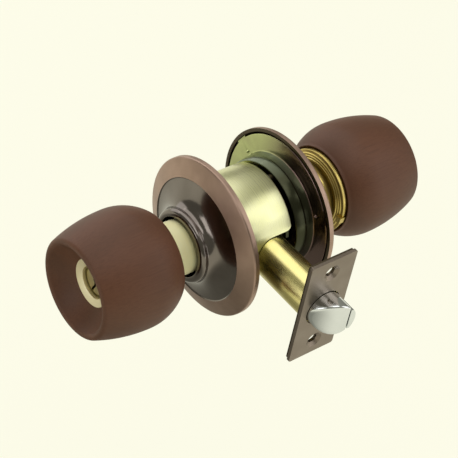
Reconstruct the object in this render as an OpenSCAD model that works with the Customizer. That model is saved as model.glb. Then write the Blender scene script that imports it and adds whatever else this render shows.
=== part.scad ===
// Bored door knob lock: turned wooden knobs, pressed roses, a drum chassis and a side latch.
// The origin is where the spindle axis crosses the latch axis. +X points to the door edge,
// +Y from the keyed outside knob to the inside knob, and +Z is up. Sizes are millimetres.

/* [Door] */
// Thickness of the door that the lock is set for
door_t = 40; // [38:0.5:46]
// Distance from the latch axis to the outside face of the door
outside_face = 18; // [17:0.5:20]
// Distance from the spindle axis to the door edge
backset = 60.3; // [58:0.1:70]
// Radius of the cross bore in the door
bore_r = 27; // [26.8:0.1:30]

/* [Roses] */
// Radius of the rose over its rolled rim
rose_r = 37.4; // [36:0.2:42]
// Thickness of the pressed rose
rose_wall = 1; // [0.8:0.1:1.3]
// Height of the rolled rim off the door
rim_h = 2.8; // [2.4:0.1:3.4]
// Width of the rolled rim where it meets the door
rim_w = 1.6; // [1.2:0.1:2.2]
// Radius of the crease between flange and cove
crease_r = 28.6; // [27:0.1:31]
// Height of the crease off the door
crease_h = 5.9; // [5.2:0.1:6.6]
// Radius of the raised collar
collar_r = 17.4; // [16.8:0.1:18.6]
// Height of the collar's lip off the door
rose_h = 15.6; // [14.5:0.1:17]
// Gap between the neck and the collar's hole
collar_gap = 1.6; // [1:0.1:2.2]

/* [Knobs] */
// Largest radius of the knob
knob_r = 27.6; // [26:0.2:32]
// Length of the knob
knob_l = 43.4; // [41:0.2:50]
// Distance from the knob's back to its widest circle
belly = 17; // [15:0.5:19]
// Radius of the curve from the back to the widest circle
back_curve_r = 24; // [22.5:0.5:27]
// Radius of the long curve from the widest circle to the rim
front_curve_r = 73.5; // [70:0.5:90]
// Radius of the rounding on the rim of the dish
rim_round = 1.9; // [1.5:0.1:2.4]
// Distance from the knob's back to the centre of the hollow sphere of the dish
dish_centre = 55.8; // [54:0.2:64]
// Distance from the outside rose's door face to the back of the keyed knob
outside_reach = 26.9; // [25.5:0.1:30]
// Distance from the inside rose's door face to the back of the inside knob
inside_reach = 24.9; // [24:0.1:30]

/* [Necks] */
// Radius of the brass neck
neck_r = 12.5; // [12.2:0.1:13.4]
// Radius of the inside neck's beaded flange in the back of the knob
flange_r = 20.2; // [19.4:0.1:20.6]
// Radius of the outside neck's plain flange in the back of the knob
plain_flange_r = 15.8; // [15.7:0.1:17]
// Depth of the flange's recess in the wood
flange_seat = 3; // [2.5:0.1:4]

/* [Cylinder] */
// Radius of the ring round the key plug
ring_r = 11.1; // [10.6:0.1:12]
// Radius of the cylinder's nose inside the ring
nose_r = 7.4; // [7.2:0.1:8.2]
// Radius of the key plug
plug_r = 6.35; // [6:0.05:6.5]
// Radius of the cylinder body behind the nose
barrel_r = 9.6; // [9.2:0.1:10.5]
// Number of pin tumblers
pin_count = 5; // [4:1:6]
// Spacing of the pin tumblers
pin_pitch = 3.8; // [3.4:0.1:4]
// Radius of a pin tumbler
pin_r = 1.35; // [1.1:0.05:1.5]

/* [Chassis] */
// Radius of the drum
drum_r = 24.9; // [24.2:0.1:25.6]
// Wall of the drum
drum_wall = 1.6; // [1.2:0.1:1.8]
// Distance from the latch axis to the drum's inner end
drum_far = 10.9; // [10.5:0.1:12]
// Thickness of the chassis end caps
cap_t = 1.5; // [1.2:0.1:2]
// Radius of the spindle tubes
spindle_r = 10; // [9.6:0.1:10.2]
// Wall of the spindle tubes
spindle_wall = 1.4; // [1.2:0.1:1.8]
// Radius that the cam wings of the spindles reach
wing_r = 12.5; // [12:0.1:12.8]
// Radius of the hubs over their thread
hub_r = 13.5; // [13:0.1:14]
// Distance of the through screws from the spindle axis
screw_offset = 20.9; // [20.6:0.1:21.2]
// Radius of the through screws
screw_r = 1.75; // [1.5:0.05:1.9]

/* [Latch] */
// Width of the faceplate
face_w = 25.4; // [24:0.2:28]
// Height of the faceplate
face_h = 57.15; // [56:0.05:60]
// Thickness of the faceplate
face_t = 1.6; // [1.4:0.1:2.2]
// Thickness of the plate behind the faceplate
back_t = 1.2; // [1:0.1:1.8]
// Distance between the two faceplate screw holes
screw_span = 41.3; // [40:0.1:44]
// Radius of the faceplate screw holes
screw_hole_r = 2.3; // [2:0.1:2.6]
// Radius of the latch tube
tube_r = 9.6; // [9.4:0.1:10]
// Wall of the latch tube
tube_wall = 0.7; // [0.6:0.1:0.9]
// Radius of the latch bolt
bolt_r = 8.7; // [8.5:0.05:8.8]
// How far the bolt stands out of the faceplate
throw = 11.5; // [11:0.1:12.5]
// Radius of the curved bevel of the bolt
nose_curve_r = 18.7; // [18:0.1:20]
// Distance from the latch axis to the flat where the plunger lies
bolt_flat = 5.2; // [5:0.1:5.6]

/* [Hidden] */
$fn = 72;
part_gap = 0.05;
sliding_gap = 0.3;
running_gap = 0.05;
fillet_steps = 5;
curve_steps = 12;

inside_face = door_t - outside_face;
collar_hole_r = neck_r + collar_gap;
cove_w = crease_r - collar_r;
cove_top = rose_h - 3.1;
shoulder_r = 1;
collar_round = min(2.2, collar_r - collar_hole_r - 0.3);
crease_step = 0.35;

recess_gap = 0.25;
recess_chamfer = 0.9;
flange_proud = 1.6;
plain_proud = 0.5;
flare_w = 3.2;
flare_h = 2.2;
bead_count = 3;
bead_pitch = (flange_r - 1.3 - neck_r - flare_w) / bead_count;
bead_rise = 0.35;
edge_start = 41;
front_centre_r = knob_r - front_curve_r;
back_centre_r = knob_r - back_curve_r;
rim_s = knob_l - rim_round;
rim_centre_r = front_centre_r + sqrt(pow(front_curve_r - rim_round, 2) - pow(rim_s - belly, 2));
rim_start = asin((rim_s - belly) / (front_curve_r - rim_round));
dish_drop = dish_centre - rim_s;
dish_r = sqrt(pow(rim_centre_r, 2) + pow(dish_drop, 2)) - rim_round;
dish_start = atan2(dish_drop, rim_centre_r);
ring_seat = dish_centre - sqrt(pow(dish_r, 2) - pow(ring_r, 2));
dish_end = acos(ring_r / dish_r);
ring_t = 3;
ring_proud = 0.45;
ring_front = ring_seat + ring_proud;
ring_back = ring_front - ring_t;
ring_dip = 1.2;

spindle_bore_r = spindle_r - spindle_wall;
neck_bore_r = spindle_r + part_gap;
neck_start = 4.4;
spindle_depth = 8;
barrel_back = spindle_depth;
barrel_front = ring_back - 2.4;
face_recess = 1.6;
nose_front = ring_front - ring_dip - face_recess;
plug_front = nose_front + 0.15;
pocket_r = 15.6;
bible_w = 6.6;
bible_top = 15;
pin_start = barrel_back + 3.6;
pin_ceiling = 14.2;
shear_low = sqrt(pow(plug_r, 2) - pow(pin_r, 2)) - 0.05;
shear_high = plug_r + 0.15;
driver_top = 9.9;
key_pin_low = [1.6, 2.4, 1.9, 2.9, 2.2, 1.8];
tail_w = 5.6;
tail_t = 1.5;

drum_in_r = drum_r - drum_wall;
drum_near = 1.5 - outside_face;
cap_in = drum_near + cap_t;
far_cap = drum_far - 2.3;
hub_h = 3.6;
hub_bore_r = spindle_r + running_gap;
cup_top_r = bore_r - 0.4;
cup_foot_r = drum_r + 0.3;
cup_depth = 9;
cup_mid = 4.2;
cup_mid_r = cup_foot_r + 1;
cup_bend_r = 1.2;
plate_t = 1.2;
clip_r = rose_r - rim_w - 0.1;
clip_reach = 0.9;
plate_r = clip_r - clip_reach;

travel = throw - 0.3;
wing_t = 1.6;
shoulder_x = 2.1;
bar_t = 3.2;
frame_in = wing_r + 0.7;
frame_out = frame_in + 1.6;
frame_far = far_cap - 1;
frame_near = -cap_in - 2.6;
claw_x = travel + 1.3;
claw_t = 3;
claw_half = 2.3;
wing_near = claw_half + 0.7;
tail_near = wing_near + 0.2;
relief = 1.6;
relief_half = 4;
spring_coil_r = 1.35;
spring_z = frame_out + 1.9;
spring_lug_t = 1.5;
lug_x = 8;
lug_top = spring_z + 1.6;
bridge_x = 13.4;
bridge_t = 1.4;
bridge_top = spring_z + 1.9;

face_x = backset;
face_back = face_x - face_t;
back_back = face_back - back_t;
tube_in_r = tube_r - tube_wall;
tube_start = 19.5;
notch_r = tube_r + 0.4;
cap_notch = sqrt(pow(notch_r, 2) - pow(far_cap, 2)) + 0.4;
opening_r = bolt_r + 0.4;
tip_x = face_x + throw;
bolt_l = 29.8;
bolt_back = tip_x - bolt_l;
tail_slot = 5;
tail_half = 2.4;
tail_thick = 2;
head_half = 6.5;
head_t = 1.6;
nose_centre_y = 8.1;
plunger_flat = bolt_flat + sliding_gap;
plunger_step = 4;
plunger_back = bolt_back + plunger_step;
tube_cap_x = tube_start + 1;
tube_cap_t = 2.5;
plunger_axis_y = 7.05;

lug_angle = 6;
button_shaft_r = 2.6;
button_r = nose_r - 0.1;
button_h = 5.6;
catch_r = 1.2;
catch_d = rose_h + 1.4;
catch_top = neck_r - 0.2;

wood = "#5f4137";
copper = "#9a7d6c";
bronze = "#5a4a40";
brass = "#c9b26a";
zinc = "#dcd9a0";
chrome = "#c9cbc6";
steel = "#9b9a94";

// Points on a circular arc about c, from angle a to angle b
function arc(c, r, a, b, n) =
    [for (i = [0:n]) let (t = a + (b - a) * i / n) [c[0] + r * cos(t), c[1] + r * sin(t)]];

// Points on an elliptical arc about c with half widths w and h
function oval_arc(c, w, h, a, b, n) =
    [for (i = [0:n]) let (t = a + (b - a) * i / n) [c[0] + w * cos(t), c[1] + h * sin(t)]];

// Points round one ring of a coil's wire at turn angle t
function wire_ring(coil_r, wire_r, rise, sides, t) =
    [for (k = [0:sides - 1]) let (a = 360 * k / sides, r = coil_r + wire_r * cos(a))
        [r * cos(t), r * sin(t), rise * t / 360 + wire_r * sin(a)]];

// Outside frame: local z runs outwards from the outside face of the door
module outside_frame() {
    translate([0, -outside_face, 0]) rotate([90, 0, 0]) children();
}

// Inside frame: local z runs outwards from the inside face of the door
module inside_frame() {
    translate([0, inside_face, 0]) rotate([-90, 0, 0]) children();
}

// Spindle axis with local z as the distance from the latch axis, to the outside
module outward_axis() {
    rotate([90, 0, 0]) children();
}

// Spindle axis with local z as the distance from the latch axis, to the inside
module inward_axis() {
    rotate([-90, 0, 0]) children();
}

// Latch frame: local z runs along +X from the given place
module latch_frame(x = 0) {
    translate([x, 0, 0]) rotate([0, 90, 0]) children();
}

// A section of radius and height points, turned about the local z axis
module turned(points) {
    rotate_extrude() polygon(points);
}

// A plain tube along the local z axis
module tube(outer, inner, from, to) {
    difference() {
        translate([0, 0, from]) cylinder(r = outer, h = to - from);
        translate([0, 0, from - 1]) cylinder(r = inner, h = to - from + 2);
    }
}

// A coil spring of round wire whose wire just reaches from z = 0 to z = length
module coil(coil_r, wire_r, length, turns, steps = 10, sides = 6) {
    rise = (length - 2 * wire_r) / turns;
    last = turns * steps;
    points = [for (i = [0:last]) each wire_ring(coil_r, wire_r, rise, sides, 360 * i / steps)];
    skin = [for (i = [0:last - 1], k = [0:sides - 1])
        let (n = (k + 1) % sides, a = i * sides, b = a + sides)
        each [[a + k, b + k, b + n], [a + k, b + n, a + n]]];
    ends = [[for (k = [0:sides - 1]) k], [for (k = [sides - 1:-1:0]) last * sides + k]];
    translate([0, 0, wire_r]) polyhedron(points, concat(skin, ends), convexity = 10);
}

// The pressed rose: rolled rim, sloping flange, crease, cove and collar
module rose() {
    flange_top = [crease_r + crease_step, crease_h];
    flange_tilt = atan2(crease_h - rim_h, rose_r - shoulder_r - crease_r);
    cove_centre = [crease_r, cove_top];
    cove_h = cove_top - crease_h + crease_step;
    outer = concat(
        [[rose_r, 0]],
        arc([rose_r - shoulder_r, rim_h - shoulder_r], shoulder_r, 0, 90 - flange_tilt, fillet_steps),
        [flange_top],
        oval_arc(cove_centre, cove_w, cove_h, 270, 180, curve_steps),
        arc([collar_r - collar_round, rose_h - collar_round], collar_round, 0, 90, fillet_steps),
        [[collar_hole_r, rose_h]]);
    inner = concat(
        [[collar_hole_r, rose_h - rose_wall], [collar_r - collar_round, rose_h - rose_wall],
         [collar_r - rose_wall, rose_h - collar_round]],
        oval_arc(cove_centre, cove_w + rose_wall, cove_h + rose_wall, 180, 270, curve_steps),
        [[rose_r - rim_w, rim_h - rose_wall], [rose_r - rim_w, 0]]);
    turned(concat(outer, inner));
}

// Outline of a turned knob from the back recess round to the edge of the ring's seat
function knob_outline(recess_r) = concat(
    [[recess_r, recess_chamfer], [recess_r + recess_chamfer, 0]],
    arc([back_centre_r, belly], back_curve_r, -edge_start, 0, curve_steps),
    arc([front_centre_r, belly], front_curve_r, 0, rim_start, curve_steps),
    arc([rim_centre_r, rim_s], rim_round, rim_start, 180 - dish_start, 2 * fillet_steps),
    arc([0, dish_centre], dish_r, -dish_start, -dish_end, curve_steps),
    [[ring_r, ring_back]]);

module outside_knob() {
    recess_r = plain_flange_r + recess_gap;
    hollow = [
        [nose_r + 0.1, ring_back], [nose_r + 0.1, barrel_front], [pocket_r, barrel_front],
        [pocket_r, flange_seat], [recess_r, flange_seat]];
    color(wood) outside_frame() translate([0, 0, outside_reach])
        turned(concat(knob_outline(recess_r), hollow));
}

module inside_knob() {
    recess_r = flange_r + recess_gap;
    socket_r = neck_bore_r;
    socket_end = spindle_depth;
    hollow = [
        [button_shaft_r + 0.1, ring_back], [button_shaft_r + 0.1, socket_end],
        [socket_r, socket_end], [socket_r, flange_seat], [recess_r, flange_seat]];
    color(wood) inside_frame() translate([0, 0, inside_reach])
        turned(concat(knob_outline(recess_r), hollow));
}

// Skin of the inside neck: a flare, then stepped beads and a flange that stands off the wood
function beaded_face(reach) =
    let (lip_z = reach - flange_proud,
         from = [neck_r + flare_w, lip_z - (bead_count + 0.5) * bead_rise])
    concat(
        oval_arc([from[0], from[1] - flare_h], flare_w, flare_h, 180, 90, fillet_steps),
        [for (i = [0:bead_count - 1]) each [
            from + [(i + 0.3) * bead_pitch, (i - 0.9) * bead_rise],
            from + [(i + 0.7) * bead_pitch, (i - 0.5) * bead_rise],
            from + [(i + 1) * bead_pitch, (i + 1) * bead_rise]]],
        [[flange_r - 0.4, lip_z], [flange_r, lip_z + 0.4], [flange_r, reach + flange_seat]]);

// Skin of the outside neck: a plain flange let into the wood
function plain_face(reach) =
    let (lip_z = reach - plain_proud) [
        [neck_r, lip_z], [plain_flange_r - 0.4, lip_z], [plain_flange_r, lip_z + 0.4],
        [plain_flange_r, reach + flange_seat]];

// Brass neck, bored for the spindle and drilled for the catch
module ferrule(reach, face) {
    difference() {
        turned(concat(
            [[neck_bore_r, neck_start], [neck_r - 0.3, neck_start], [neck_r, neck_start + 0.3]],
            face,
            [[neck_bore_r, reach + flange_seat]]));
        translate([0, 0, catch_d]) rotate([0, -90, 0])
            cylinder(r = catch_r + part_gap, h = neck_r + 1);
    }
}

// Small driving lug that stands out of the flange's edge beside the wood
module flange_lug(reach) {
    lug_w = 3.4;
    lug_in = flange_r - 2;
    lug_out = flange_r + 0.6;
    rotate([0, 0, lug_angle]) translate([lug_in, -lug_w / 2, reach - flange_proud - 1.4])
        cube([lug_out - lug_in, lug_w, flange_proud + 1.2]);
}

module outside_ferrule() {
    color(brass) outside_frame() ferrule(outside_reach, plain_face(outside_reach));
}

module inside_ferrule() {
    color(brass) inside_frame() union() {
        ferrule(inside_reach, beaded_face(inside_reach));
        flange_lug(inside_reach);
    }
}

// Dished ring let into the knob round the key plug or the turn button
module face_ring() {
    edge = 0.4;
    turned([
        [nose_r + 0.1, ring_back], [ring_r, ring_back], [ring_r, ring_front - edge],
        [ring_r - edge, ring_front], [nose_r + 0.1, ring_front - ring_dip]]);
}

module key_ring() {
    color(brass) outside_frame() translate([0, 0, outside_reach]) face_ring();
}

module button_ring() {
    color(brass) inside_frame() translate([0, 0, inside_reach]) face_ring();
}

// Places its children at each pin stack of the cylinder, with local z radial
module at_pins() {
    for (i = [0:pin_count - 1]) {
        $pin = i;
        translate([0, 0, pin_start + i * pin_pitch]) rotate([-90, 0, 0]) children();
    }
}

// Cylinder body: nose, barrel and the block above it that holds the drivers and springs
module cylinder_body() {
    block_h = barrel_front - barrel_back;
    color(steel) outside_frame() translate([0, 0, outside_reach]) difference() {
        union() {
            translate([0, 0, barrel_back]) cylinder(r = barrel_r, h = block_h);
            translate([0, 0, barrel_front - 1]) cylinder(r = nose_r, h = nose_front - barrel_front + 1);
            translate([-bible_w / 2, 0, barrel_back]) cube([bible_w, bible_top, block_h]);
        }
        translate([0, 0, barrel_back - 1])
            cylinder(r = plug_r + running_gap, h = nose_front - barrel_back + 2);
        at_pins() cylinder(r = pin_r + running_gap, h = pin_ceiling);
    }
}

// Zigzag keyway section, open at the bottom edge of the plug
module keyway() {
    slot_w = 1.2;
    left = [
        [-1.9, -plug_r - 1], [-1.5, -4.6], [-0.35, -2.4], [-0.35, -1.2], [-1.5, -0.2],
        [-1.5, 0.6], [-0.5, 1.8], [-0.5, 4.6]];
    right = [for (i = [len(left) - 1:-1:0]) left[i] + [slot_w, 0]];
    polygon(concat(left, right));
}

module key_plug() {
    back_wall = 1.5;
    edge = 0.3;
    color(brass) outside_frame() translate([0, 0, outside_reach]) difference() {
        turned([
            [0, barrel_back], [plug_r, barrel_back], [plug_r, plug_front - edge],
            [plug_r - edge, plug_front], [0, plug_front]]);
        translate([0, 0, barrel_back + back_wall]) linear_extrude(height = knob_l) keyway();
        at_pins() cylinder(r = pin_r + running_gap, h = plug_r + 1);
    }
}

// Key pins with coned tips, held at the shear line as the right key would hold them
module key_pins() {
    tip_r = 0.5;
    tip_h = 0.8;
    color(brass) outside_frame() translate([0, 0, outside_reach]) at_pins() turned([
        [0, key_pin_low[$pin]], [tip_r, key_pin_low[$pin]], [pin_r, key_pin_low[$pin] + tip_h],
        [pin_r, shear_low], [0, shear_low]]);
}

module driver_pins() {
    color(steel) outside_frame() translate([0, 0, outside_reach]) at_pins()
        translate([0, 0, shear_high]) cylinder(r = pin_r, h = driver_top - shear_high);
}

module pin_springs() {
    wire_r = 0.2;
    color(steel) outside_frame() translate([0, 0, outside_reach]) at_pins()
        translate([0, 0, driver_top])
            coil(pin_r - wire_r - part_gap, wire_r, pin_ceiling - driver_top, 4, 8, 4);
}

// Flat tail that carries the plug's turn into the chassis
module plug_tail() {
    base_r = 5.6;
    base_t = 1.6;
    base_end = outside_face + outside_reach + barrel_back;
    color(steel) outward_axis() union() {
        translate([0, 0, base_end - base_t]) cylinder(r = base_r, h = base_t);
        translate([-tail_t / 2, -tail_w / 2, tail_near])
            cube([tail_t, tail_w, base_end - base_t / 2 - tail_near]);
    }
}

// Spindle tube with a half shell and two cam wings at its chassis end, drilled for the catch.
// Its end lies at the given distance from the latch axis, and so do the wings.
module spindle(end, catch_at, wing_from, wing_to) {
    tube_from = wing_to + 0.6;
    difference() {
        union() {
            tube(spindle_r, spindle_bore_r, tube_from, end);
            intersection() {
                tube(spindle_r, spindle_bore_r, wing_from, tube_from + 1);
                translate([0, -spindle_r - 1, wing_from]) cube([spindle_r + 1, 2 * spindle_r + 2, end]);
            }
            for (side = [-1, 1])
                translate([-wing_t / 2, side > 0 ? spindle_bore_r + 0.3 : -wing_r, wing_from])
                    cube([wing_t, wing_r - spindle_bore_r - 0.3, wing_to - wing_from]);
        }
        translate([0, 0, catch_at]) rotate([0, -90, 0])
            cylinder(r = catch_r + part_gap, h = spindle_r + 1);
    }
}

module outside_spindle() {
    color(steel) outward_axis() spindle(
        outside_face + outside_reach + spindle_depth, outside_face + catch_d,
        wing_near, outside_face - 6.6);
}

module inside_spindle() {
    color(steel) inward_axis() spindle(
        inside_face + inside_reach + spindle_depth, inside_face + catch_d,
        wing_near, far_cap - 1.2);
}

// Round catch that pins the neck to its spindle and is pressed in to free the knob
module neck_catch() {
    color(steel) translate([0, 0, catch_d]) rotate([0, -90, 0]) turned([
        [0, spindle_bore_r + part_gap], [catch_r, spindle_bore_r + part_gap],
        [catch_r, catch_top - 0.3], [catch_r - 0.3, catch_top], [0, catch_top]]);
}

// Split band inside the spindle that pushes the catch out
module catch_band() {
    band_t = 0.6;
    band_w = 3;
    mouth = 5;
    color(steel) translate([0, 0, catch_d - band_w / 2]) difference() {
        tube(spindle_bore_r, spindle_bore_r - band_t, 0, band_w);
        translate([0, -mouth / 2, -1]) cube([spindle_r, mouth, band_w + 2]);
    }
}

module outside_catch() {
    outside_frame() neck_catch();
}

module inside_catch() {
    inside_frame() neck_catch();
}

module outside_catch_spring() {
    outside_frame() catch_band();
}

module inside_catch_spring() {
    inside_frame() catch_band();
}

module outside_rose() {
    color(copper) outside_frame() rose();
}

module inside_rose() {
    color(copper) inside_frame() rose();
}

// Plate inside the outside rose, with the sleeve that screws onto the hub
module outside_rose_liner() {
    sleeve_r = hub_r + 2.1;
    sleeve_h = 6;
    base = 0.2;
    color(steel) outside_frame() turned([
        [hub_r + part_gap, base], [clip_r, base], [clip_r, base + plate_t],
        [sleeve_r, base + plate_t], [sleeve_r, sleeve_h], [hub_r + part_gap, sleeve_h]]);
}

// Hub sleeve with turned thread grooves, from the given height to its top
module hub(from, top) {
    groove = 0.45;
    pitch = 1.4;
    count = floor((top - from - 1.2) / pitch);
    difference() {
        tube(hub_r, hub_bore_r, from, top);
        for (i = [0:count - 1]) translate([0, 0, from + 0.8 + i * pitch])
            tube(hub_r + 1, hub_r - groove, 0, pitch / 2);
    }
}

module outside_hub() {
    color(steel) outside_frame() hub(-outside_face - drum_near, hub_h);
}

module inside_hub() {
    color(steel) inside_frame() hub(far_cap + cap_t - inside_face, hub_h);
}

// Mouth cut into the drum's side for the latch tube, drawn in the Y and Z plane
module drum_mouth() {
    corner = 3;
    linear_extrude(height = drum_r + 1) polygon(concat(
        arc([0, 0], notch_r, 90, 270, 2 * curve_steps),
        arc([drum_far - corner, -notch_r - corner], corner, 90, 0, fillet_steps),
        [[drum_far + 1, -notch_r - corner], [drum_far + 1, notch_r + corner]],
        arc([drum_far - corner, notch_r + corner], corner, 0, -90, fillet_steps)));
}

module chassis_drum() {
    color(zinc) difference() {
        outward_axis() tube(drum_r, drum_in_r, -drum_far, -drum_near);
        multmatrix([[0, 0, 1, 0], [1, 0, 0, 0], [0, 1, 0, 0]]) drum_mouth();
    }
}

// Chassis end cap: a disc inside the drum with holes for the spindle and the through screws
module end_cap(centre_r) {
    difference() {
        cylinder(r = drum_in_r, h = cap_t);
        translate([0, 0, -1]) cylinder(r = centre_r, h = cap_t + 2);
        for (side = [-1, 1]) translate([0, side * screw_offset, -1])
            cylinder(r = screw_r + part_gap, h = cap_t + 2);
    }
}

module outside_end_cap() {
    color(steel) outward_axis() translate([0, 0, -cap_in]) end_cap(hub_bore_r);
}

module inside_end_cap() {
    color(steel) difference() {
        inward_axis() translate([0, 0, far_cap]) end_cap(hub_bore_r);
        translate([tube_start - 0.6, far_cap - 1, -cap_notch])
            cube([drum_r, cap_t + 2, 2 * cap_notch]);
    }
}

// Two flat bars that join the end caps and carry the rear ends of the retractor springs
module chassis_bridges() {
    low = frame_out + 0.4;
    color(steel) for (side = [-1, 1])
        translate([-bridge_x, cap_in, side > 0 ? low : -bridge_top])
            cube([bridge_t, far_cap - cap_in, bridge_top - low]);
}

// Retractor: two guide plates, a rear bar with shoulders for the outside cam, and latch claws
module retractor() {
    rear = -shoulder_x - bar_t;
    front = claw_x + claw_t;
    bar_near = wing_near - 0.4;
    bar_far = outside_face - 6.4;
    window_x = 9;
    window_y = 5;
    throat = tail_half + 0.5;
    color(steel) difference() {
        union() {
            for (side = [-1, 1]) {
                translate([rear, -frame_near, side > 0 ? frame_in : -frame_out])
                    cube([front - rear, frame_near + frame_far, frame_out - frame_in]);
                translate([lug_x, -claw_half, side > 0 ? frame_in : -lug_top])
                    cube([spring_lug_t, 2 * claw_half, lug_top - frame_in]);
                translate([claw_x, -claw_half, side > 0 ? throat : -frame_out])
                    cube([claw_t, 2 * claw_half, frame_out - throat]);
            }
            translate([rear, -bar_far, -frame_out]) cube([bar_t, bar_far - bar_near, 2 * frame_out]);
        }
        translate([-shoulder_x - relief, -bar_far - 1, -relief_half])
            cube([relief + 1, bar_far, 2 * relief_half]);
        for (y = [-frame_near + 2, frame_far - 2 - window_y])
            translate([-1, y, -frame_out - 1]) cube([window_x, window_y, 2 * frame_out + 2]);
    }
}

module retractor_springs() {
    wire_r = 0.3;
    from = bridge_t - bridge_x;
    color(steel) for (side = [-1, 1]) translate([0, 0, side * spring_z])
        latch_frame(from) coil(spring_coil_r, wire_r, lug_x - from, 7);
}

module latch_tube() {
    color(zinc) latch_frame() tube(tube_r, tube_in_r, tube_start, face_back);
}

// Cap pressed into the tube's rear end, slotted for the tail
module latch_tube_cap() {
    slot_w = tail_thick + 0.6;
    slot_h = 2 * tail_half + 0.6;
    color(steel) latch_frame(tube_cap_x) difference() {
        cylinder(r = tube_in_r, h = tube_cap_t);
        translate([-slot_h / 2, -slot_w / 2, -1]) cube([slot_h, slot_w, tube_cap_t + 2]);
    }
}

// Everything outside the curved bevel, to be cut from the bolt and the plunger
module beyond_nose() {
    difference() {
        translate([face_back, -2 * bolt_r, -2 * bolt_r]) cube([2 * throw, 4 * bolt_r, 4 * bolt_r]);
        translate([tip_x - nose_curve_r, nose_centre_y, -2 * bolt_r])
            cylinder(r = nose_curve_r, h = 4 * bolt_r);
    }
}

module latch_bolt() {
    slot_w = tail_thick + 0.1;
    slot_h = 2 * tail_half + 0.1;
    color(chrome) difference() {
        latch_frame(bolt_back) cylinder(r = bolt_r, h = tip_x - bolt_back);
        translate([bolt_back - 1, bolt_flat, -bolt_r])
            cube([tip_x, bolt_r, 2 * bolt_r]);
        beyond_nose();
        translate([bolt_back - 1, -slot_w / 2, -slot_h / 2]) cube([tail_slot + 1, slot_w, slot_h]);
    }
}

// Flat tail of the latch with the cross head that the retractor's claws hold
module latch_tail() {
    head_from = claw_x - 0.3 - head_t;
    color(steel) union() {
        translate([head_from, -tail_thick / 2, -tail_half])
            cube([bolt_back + tail_slot - head_from, tail_thick, 2 * tail_half]);
        translate([head_from, -tail_thick / 2, -head_half]) cube([head_t, tail_thick, 2 * head_half]);
    }
}

module latch_spring() {
    coil_r = 4;
    wire_r = 0.45;
    from = tube_cap_x + tube_cap_t;
    color(steel) latch_frame(from) coil(coil_r, wire_r, bolt_back - from, 7, 12);
}

module deadlatch_plunger() {
    half_h = 5.6;
    color(chrome) difference() {
        intersection() {
            latch_frame(plunger_back) cylinder(r = bolt_r, h = tip_x - plunger_back);
            translate([plunger_back - 1, plunger_flat, -half_h]) cube([tip_x, bolt_r, 2 * half_h]);
        }
        beyond_nose();
    }
}

module plunger_spring() {
    coil_r = 1.05;
    wire_r = 0.25;
    from = tube_cap_x + tube_cap_t;
    color(steel) translate([0, plunger_axis_y, 0])
        latch_frame(from) coil(coil_r, wire_r, plunger_back - from, 10);
}

// Flat plate with clipped corners, its screw holes and its opening, along local z
module latch_plate(w, h, t, hole) {
    clip = 0.7;
    difference() {
        linear_extrude(height = t) polygon([
            [-h / 2, clip - w / 2], [clip - h / 2, -w / 2], [h / 2 - clip, -w / 2], [h / 2, clip - w / 2],
            [h / 2, w / 2 - clip], [h / 2 - clip, w / 2], [clip - h / 2, w / 2], [-h / 2, w / 2 - clip]]);
        translate([0, 0, -1]) cylinder(r = hole, h = t + 2);
        for (side = [-1, 1]) translate([side * screw_span / 2, 0, -1])
            cylinder(r = screw_hole_r, h = t + 2);
    }
}

module latch_backplate() {
    inset = 0.5;
    color(bronze) latch_frame(back_back)
        latch_plate(face_w - 2 * inset, face_h - 2 * inset, back_t, tube_r + part_gap);
}

module latch_faceplate() {
    sink_r = screw_hole_r + 1.9;
    sink_h = face_t - 0.4;
    color(copper) latch_frame(face_back) difference() {
        latch_plate(face_w, face_h, face_t, opening_r);
        for (side = [-1, 1]) translate([side * screw_span / 2, 0, face_t - sink_h])
            cylinder(r1 = screw_hole_r, r2 = sink_r, h = sink_h + 0.001);
    }
}

// Drawn plate that clamps the chassis to the inside face and carries the inside rose
module mounting_plate() {
    wall = 1;
    clip_w = 7;
    clip_in = plate_r - 1;
    clip_out = clip_r - 0.4;
    prong_r = 0.9;
    prong_at = cup_top_r + 1.9;
    color(bronze) inside_frame() difference() {
        union() {
            turned(concat(
                [[hub_r + 0.2, -cup_depth]],
                arc([cup_foot_r - cup_bend_r, cup_bend_r - cup_depth], cup_bend_r, -90, 0, fillet_steps),
                [[cup_mid_r, -cup_mid], [cup_mid_r - 0.5, 0.4 - cup_mid], [cup_top_r - 0.2, -0.6],
                 [cup_top_r + 0.3, 0], [plate_r, 0], [plate_r, plate_t], [cup_top_r - wall, plate_t],
                 [cup_foot_r - wall, wall - cup_depth], [hub_r + 0.2, wall - cup_depth]]));
            for (a = [90, 210, 330]) rotate([0, 0, a]) {
                translate([clip_in, -clip_w / 2, 0]) cube([clip_out - clip_in, clip_w, plate_t]);
                translate([prong_at, 0, -prong_r])
                    cylinder(r1 = prong_r / 4, r2 = prong_r, h = prong_r + 0.1);
            }
        }
        for (side = [-1, 1]) translate([0, side * screw_offset, -cup_depth - 1])
            cylinder(r = screw_r + 0.15, h = wall + 2);
    }
}

module through_screws() {
    head_r = 3;
    head_h = 2;
    slot_w = 0.8;
    seat = inside_face - cup_depth + 1;
    color(steel) for (side = [-1, 1]) inward_axis() translate([0, side * screw_offset, 0]) difference() {
        union() {
            translate([0, 0, drum_near]) cylinder(r = screw_r, h = seat - drum_near + 0.5);
            translate([0, 0, seat]) turned(concat(
                [[0, 0], [head_r, 0]],
                oval_arc([0, head_h / 3], head_r, 2 * head_h / 3, 0, 90, fillet_steps)));
        }
        translate([-head_r - 1, -slot_w / 2, seat + head_h / 2]) cube([2 * head_r + 2, slot_w, head_h]);
    }
}

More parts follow.
